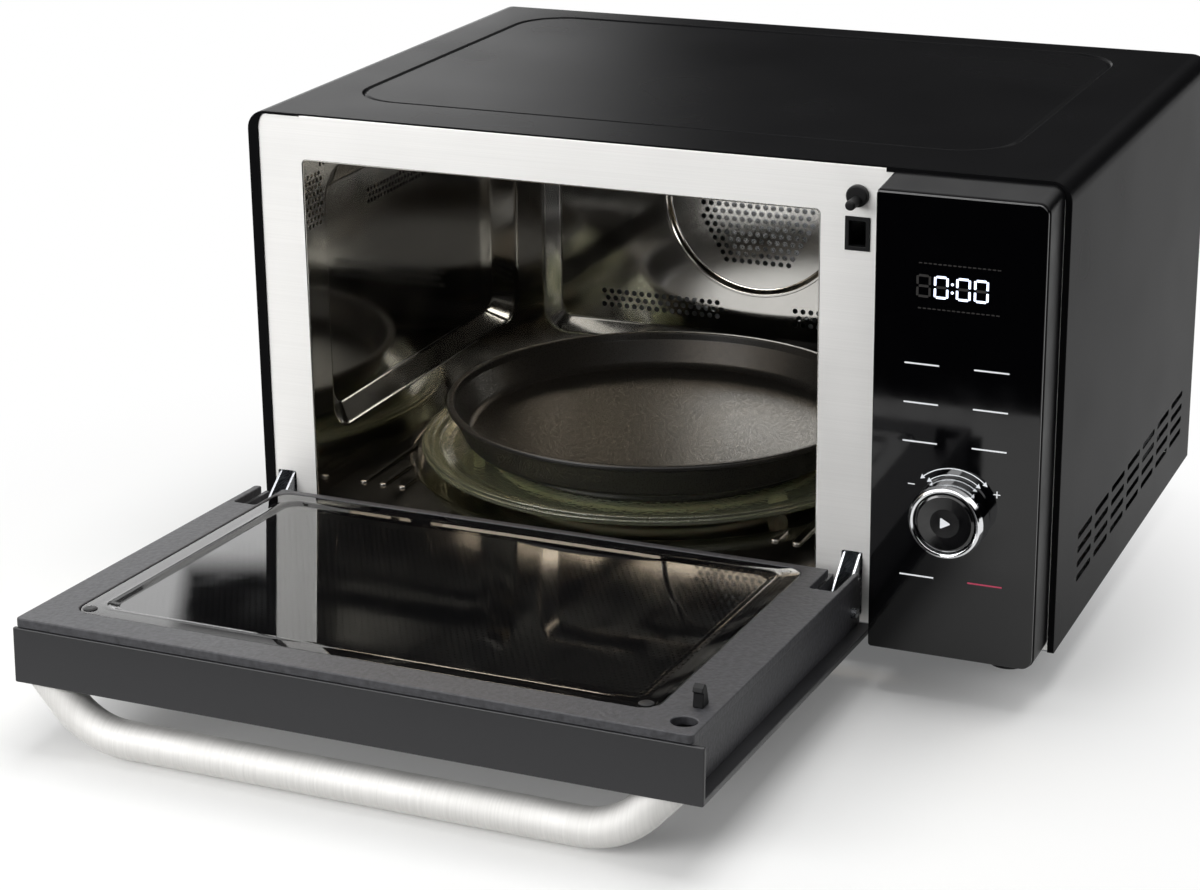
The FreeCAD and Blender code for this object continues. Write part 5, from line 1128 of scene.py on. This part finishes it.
def selector():
    """Chromed selector ring on its stem, and the gloss push cap in it."""
    low, high = span("dial_ring")
    middle = middle_of("dial_ring")
    radius = (high.x - low.x) / 2
    cap = span("start_button")
    bore = (cap[1].x - cap[0].x) / 2 + 0.4
    front = -low.y
    stem, back, floor = front - 20, front - 17, front - 14
    outline = [(4.8, stem), (7, stem), (7, back), (radius - 0.6, back), (radius, back + 1.5),
               (radius, front - 3.2), (radius - 1.2, front - 0.6), (radius - 2.2, front),
               (bore + 0.9, front - 0.4), (bore, front - 2.2), (bore, floor), (4.8, floor)]
    radii = [0.2, 0.2, 0.2, 0.5, 0.5, 0.8, 0.6, 0.5, 0.4, 0.4, 0.2, 0.2]
    mesh = turned("dial_ring", FRONTWARD, outline, radii, 3, 128)
    stand_in("selector_ring", mesh, CHROME, "dial_ring", angle=50)
    edge = cap[1].x - middle.x
    face, root = -cap[0].y, -cap[1].y
    outline = [(0, face - 0.7), (edge * 0.5, face - 0.5), (edge - 1.4, face), (edge, face - 0.8),
               (edge, face - 9), (4.2, face - 9), (4.2, root), (0, root)]
    radii = [0, 4, 0.6, 0.5, 0.3, 0.3, 0.3, 0]
    mesh = turned("dial_ring", FRONTWARD, outline, radii, 4, 96)
    stand_in("push_cap", mesh, CAP_GLOSS, "start_button", angle=40)
    start = [(middle.x + ARROW_LEFT, middle.z - ARROW_RISE), (middle.x + ARROW_RIGHT, middle.z),
             (middle.x + ARROW_LEFT, middle.z + ARROW_RISE)]
    printed("start_mark", [rounded(start, 0.5, 3)], WHITE_PRINT_PAINTED_GLOW, "start_button", face - ARROW_SINK)


# The rest of the CAD nodes

def fittings():
    """Breaks the edges of the plain pressings and mouldings that show."""
    for node, finish, edge in (
            ("door_body", FRAME_PLASTIC, 0.6), ("door_skin", SKIN_PLASTIC, 0.8),
            ("door_outer_glass", PANEL_GLASS, 0.5), ("hinge_bracket_left", BRIGHT_ZINC, 0.25),
            ("hinge_bracket_right", BRIGHT_ZINC, 0.25), ("interlock_bezel", MOULDING, 0.3),
            ("rear_cover", ZINC, 0.8), ("rear_panel", ZINC, 0.2), ("base_plate", ZINC, 0.2),
            ("cord_gland", MOULDING, 0.6)):
        softened(node, finish, edge)
    dress(BRIGHT_ZINC, "hinge_pin_left", "hinge_pin_right", "convection_fan")
    dress(CAVITY_STEEL, "cavity_right_wall", "cavity_ceiling")
    dress(SHEATH, "grill_element", "ring_heater")
    dress(ZINC, "convection_housing", "waveguide", "interlock_bracket")
    dress(ALUMINIUM, "convection_motor", "turntable_motor", "magnetron", "cooling_fan_motor")
    dress(IRON, "transformer_core")
    dress(COPPER, "transformer_winding")
    dress(MOULDING, "fan_shroud", "cooling_fan", "dial_encoder", "door_switch", "display_module")
    dress(BOARD, "control_board")
    dress(MICA, "mica_cover")
    dress(NYLON, "turntable_coupling", "roller_ring", "roller_1", "roller_2", "roller_3")


wrapper_shell()
front_plate()
feet()
left_wall()
rear_wall()
cavity_floor()
glass_tray()
crisp_pan()
door_frame()
door_cover()
door_screen()
handle()
latch()
catch_stud()
panel_block()
panel_print()
selector()
fittings()
rear_screws()


# Stage, light and camera

# The floor's own white takes over between these distances from its middle, and has a small share nearer
FLOOR_NEAR, FLOOR_FAR, FLOOR_MIDDLE, FLOOR_SHARE = 0.26, 0.6, (-0.06, -0.12, 0), 0.1
FLOOR_FRONT, FLOOR_REACH = -0.6, 9.0
AMBIENT = 0.4
WHITE = (1, 1, 1, 1)
# What gloss sees of the studio: axis, its start and end, and the light at each
SHEET_EDGES = (("X", -0.43, -0.37, 1.0, 0.0), ("Y", -0.1, 0.2, 0.0, 1.0), ("Z", -0.05, 0.02, 0.0, 2.6))
SHEET_TOP = (("Z", 0.287, 0.296, 1.0, 0.0), ("X", -0.503, -0.497, 1.0, 0.0))
SOFTBOX_ABOVE = ("Z", 0.34, 0.44, 0.0, 1.8)
# How far left of the middle and behind the opening the cavity lamp sits
LAMP_LEFT, LAMP_DEPTH = 90, 50


def rays(tree, *kinds):
    """Node that is 1 for rays of these kinds and 0 for others."""
    path = add(tree, "ShaderNodeLightPath")
    seen = 0.0
    for kind in kinds:
        seen = add(tree, MATHS, {"operation": "MAXIMUM", 0: seen, 1: path.outputs[f"Is {kind} Ray"]})
    return seen


def stage_floor():
    """White table with the oven's shadow, which runs out to plain white and ends before the viewer."""
    bm = bmesh.new()
    corners = rect((-FLOOR_REACH, FLOOR_REACH), (FLOOR_FRONT, FLOOR_REACH))
    bm.faces.new([bm.verts.new((*corner, 0)) for corner in corners])
    mesh = mesh_of(bm)
    table = bpy.data.materials.new("white_table")
    tree = blank_tree(table)
    place = add(tree, "ShaderNodeTexCoord").outputs["Object"]
    distance = add(tree, "ShaderNodeVectorMath", {"operation": "DISTANCE", 0: place, 1: FLOOR_MIDDLE})
    far = add(tree, "ShaderNodeMapRange",
              {"interpolation_type": "SMOOTHSTEP", "From Min": FLOOR_NEAR, "From Max": FLOOR_FAR,
               "To Min": FLOOR_SHARE, "Value": distance.outputs["Value"]})
    seen = rays(tree, "Camera", "Glossy", "Transmission")
    share = add(tree, MATHS, {"operation": "MULTIPLY", 0: far, 1: seen})
    matt = add(tree, "ShaderNodeBsdfDiffuse", {"Color": colour("#f4f4f3")})
    white = add(tree, "ShaderNodeEmission", {"Color": WHITE, "Strength": 1.0})
    mix = add(tree, "ShaderNodeMixShader", {0: share, 1: matt, 2: white})
    add(tree, "ShaderNodeOutputMaterial", {"Surface": mix})
    mesh.materials.append(table)
    floor = bpy.data.objects.new("floor", mesh)
    scene.collection.objects.link(floor)


def studio_world():
    """Even grey light with a white surround. Gloss sees a white sheet behind and a light above instead."""
    scene.world = bpy.data.worlds.new("studio")
    tree = blank_tree(scene.world)
    ray = add(tree, "ShaderNodeSeparateXYZ", {"Vector": add(tree, "ShaderNodeTexCoord").outputs["Generated"]})
    ramps = []
    for axis, start, end, first, last in (*SHEET_TOP, *SHEET_EDGES, SOFTBOX_ABOVE):
        ramps.append(add(tree, "ShaderNodeMapRange", {"From Min": start, "From Max": end, "To Min": first,
                                                      "To Max": last, "Value": ray.outputs[axis]}))
    studio = ramps[0]
    for operation, ramp in zip(("MAXIMUM", "MULTIPLY", "MULTIPLY", "MULTIPLY", "MAXIMUM"), ramps[1:]):
        studio = add(tree, MATHS, {"operation": operation, 0: studio, 1: ramp})
    glossy = add(tree, "ShaderNodeMix", {0: rays(tree, "Glossy"), 2: AMBIENT, 3: studio})
    direct = rays(tree, "Camera", "Transmission")
    strength = add(tree, MATHS, {"operation": "MAXIMUM", 0: glossy, 1: direct})
    light = add(tree, "ShaderNodeBackground", {"Color": WHITE, "Strength": strength})
    add(tree, "ShaderNodeOutputWorld", {"Surface": light})


def soft_light(name, place, aim, size, power, tint="#ffffff"):
    lamp = bpy.data.lights.new(name, "AREA")
    lamp.shape = "RECTANGLE"
    lamp.size, lamp.size_y = size
    lamp.energy = power
    lamp.color = colour(tint)[:3]
    item = bpy.data.objects.new(name, lamp)
    item.location = place
    item.rotation_euler = (Vector(aim) - Vector(place)).to_track_quat("-Z", "Y").to_euler()
    scene.collection.objects.link(item)


def lights():
    """A soft key from the front left, a light above, and the lamp in the cavity's ceiling."""
    soft_light("key", (-1.1, -2.0, 1.0), (0, -0.1, 0.15), (1.8, 1.0), 37)
    soft_light("overhead", (0.1, 0.2, 2.2), (0.1, 0.2, 0), (1.6, 1.2), 28)
    across = (CAV_LEFT + CAV_RIGHT) / 2 - LAMP_LEFT
    ceiling = CABINET @ Vector((across, CAV_FRONT + LAMP_DEPTH, CAV_TOP - 1))
    soft_light("cavity_lamp", ceiling, ceiling - Vector((0, 0, 1)), (0.17, 0.08), 0.28, "#ffeed8")


# View fitted to the photograph, in the cabinet's millimetres and radians
EYE = (615.77, -1472.67, 663.45)
YAW, PITCH, ROLL = -0.4102, 0.3209, -0.0123
FOCAL_PIXELS, PICTURE_WIDTH, SENSOR = 2803.99, 1200, 36.0
SHIFT_Y = -0.05


def camera():
    ahead = Vector((math.sin(YAW) * math.cos(PITCH), math.cos(YAW) * math.cos(PITCH), -math.sin(PITCH)))
    level_right = Vector((math.cos(YAW), -math.sin(YAW), 0))
    level_up = level_right.cross(ahead)
    right = level_right * math.cos(ROLL) + level_up * math.sin(ROLL)
    up = level_up * math.cos(ROLL) - level_right * math.sin(ROLL)
    lens = bpy.data.cameras.new("view")
    lens.sensor_width = SENSOR
    lens.lens = FOCAL_PIXELS * SENSOR / PICTURE_WIDTH
    lens.shift_y = SHIFT_Y
    item = bpy.data.objects.new("view", lens)
    turn = Matrix((right, up, -ahead)).transposed().to_4x4()
    item.matrix_world = Matrix.Translation(CABINET @ Vector(EYE)) @ turn
    scene.collection.objects.link(item)
    scene.camera = item


stage_floor()
studio_world()
lights()
camera()
scene.view_settings.view_transform = "Standard"
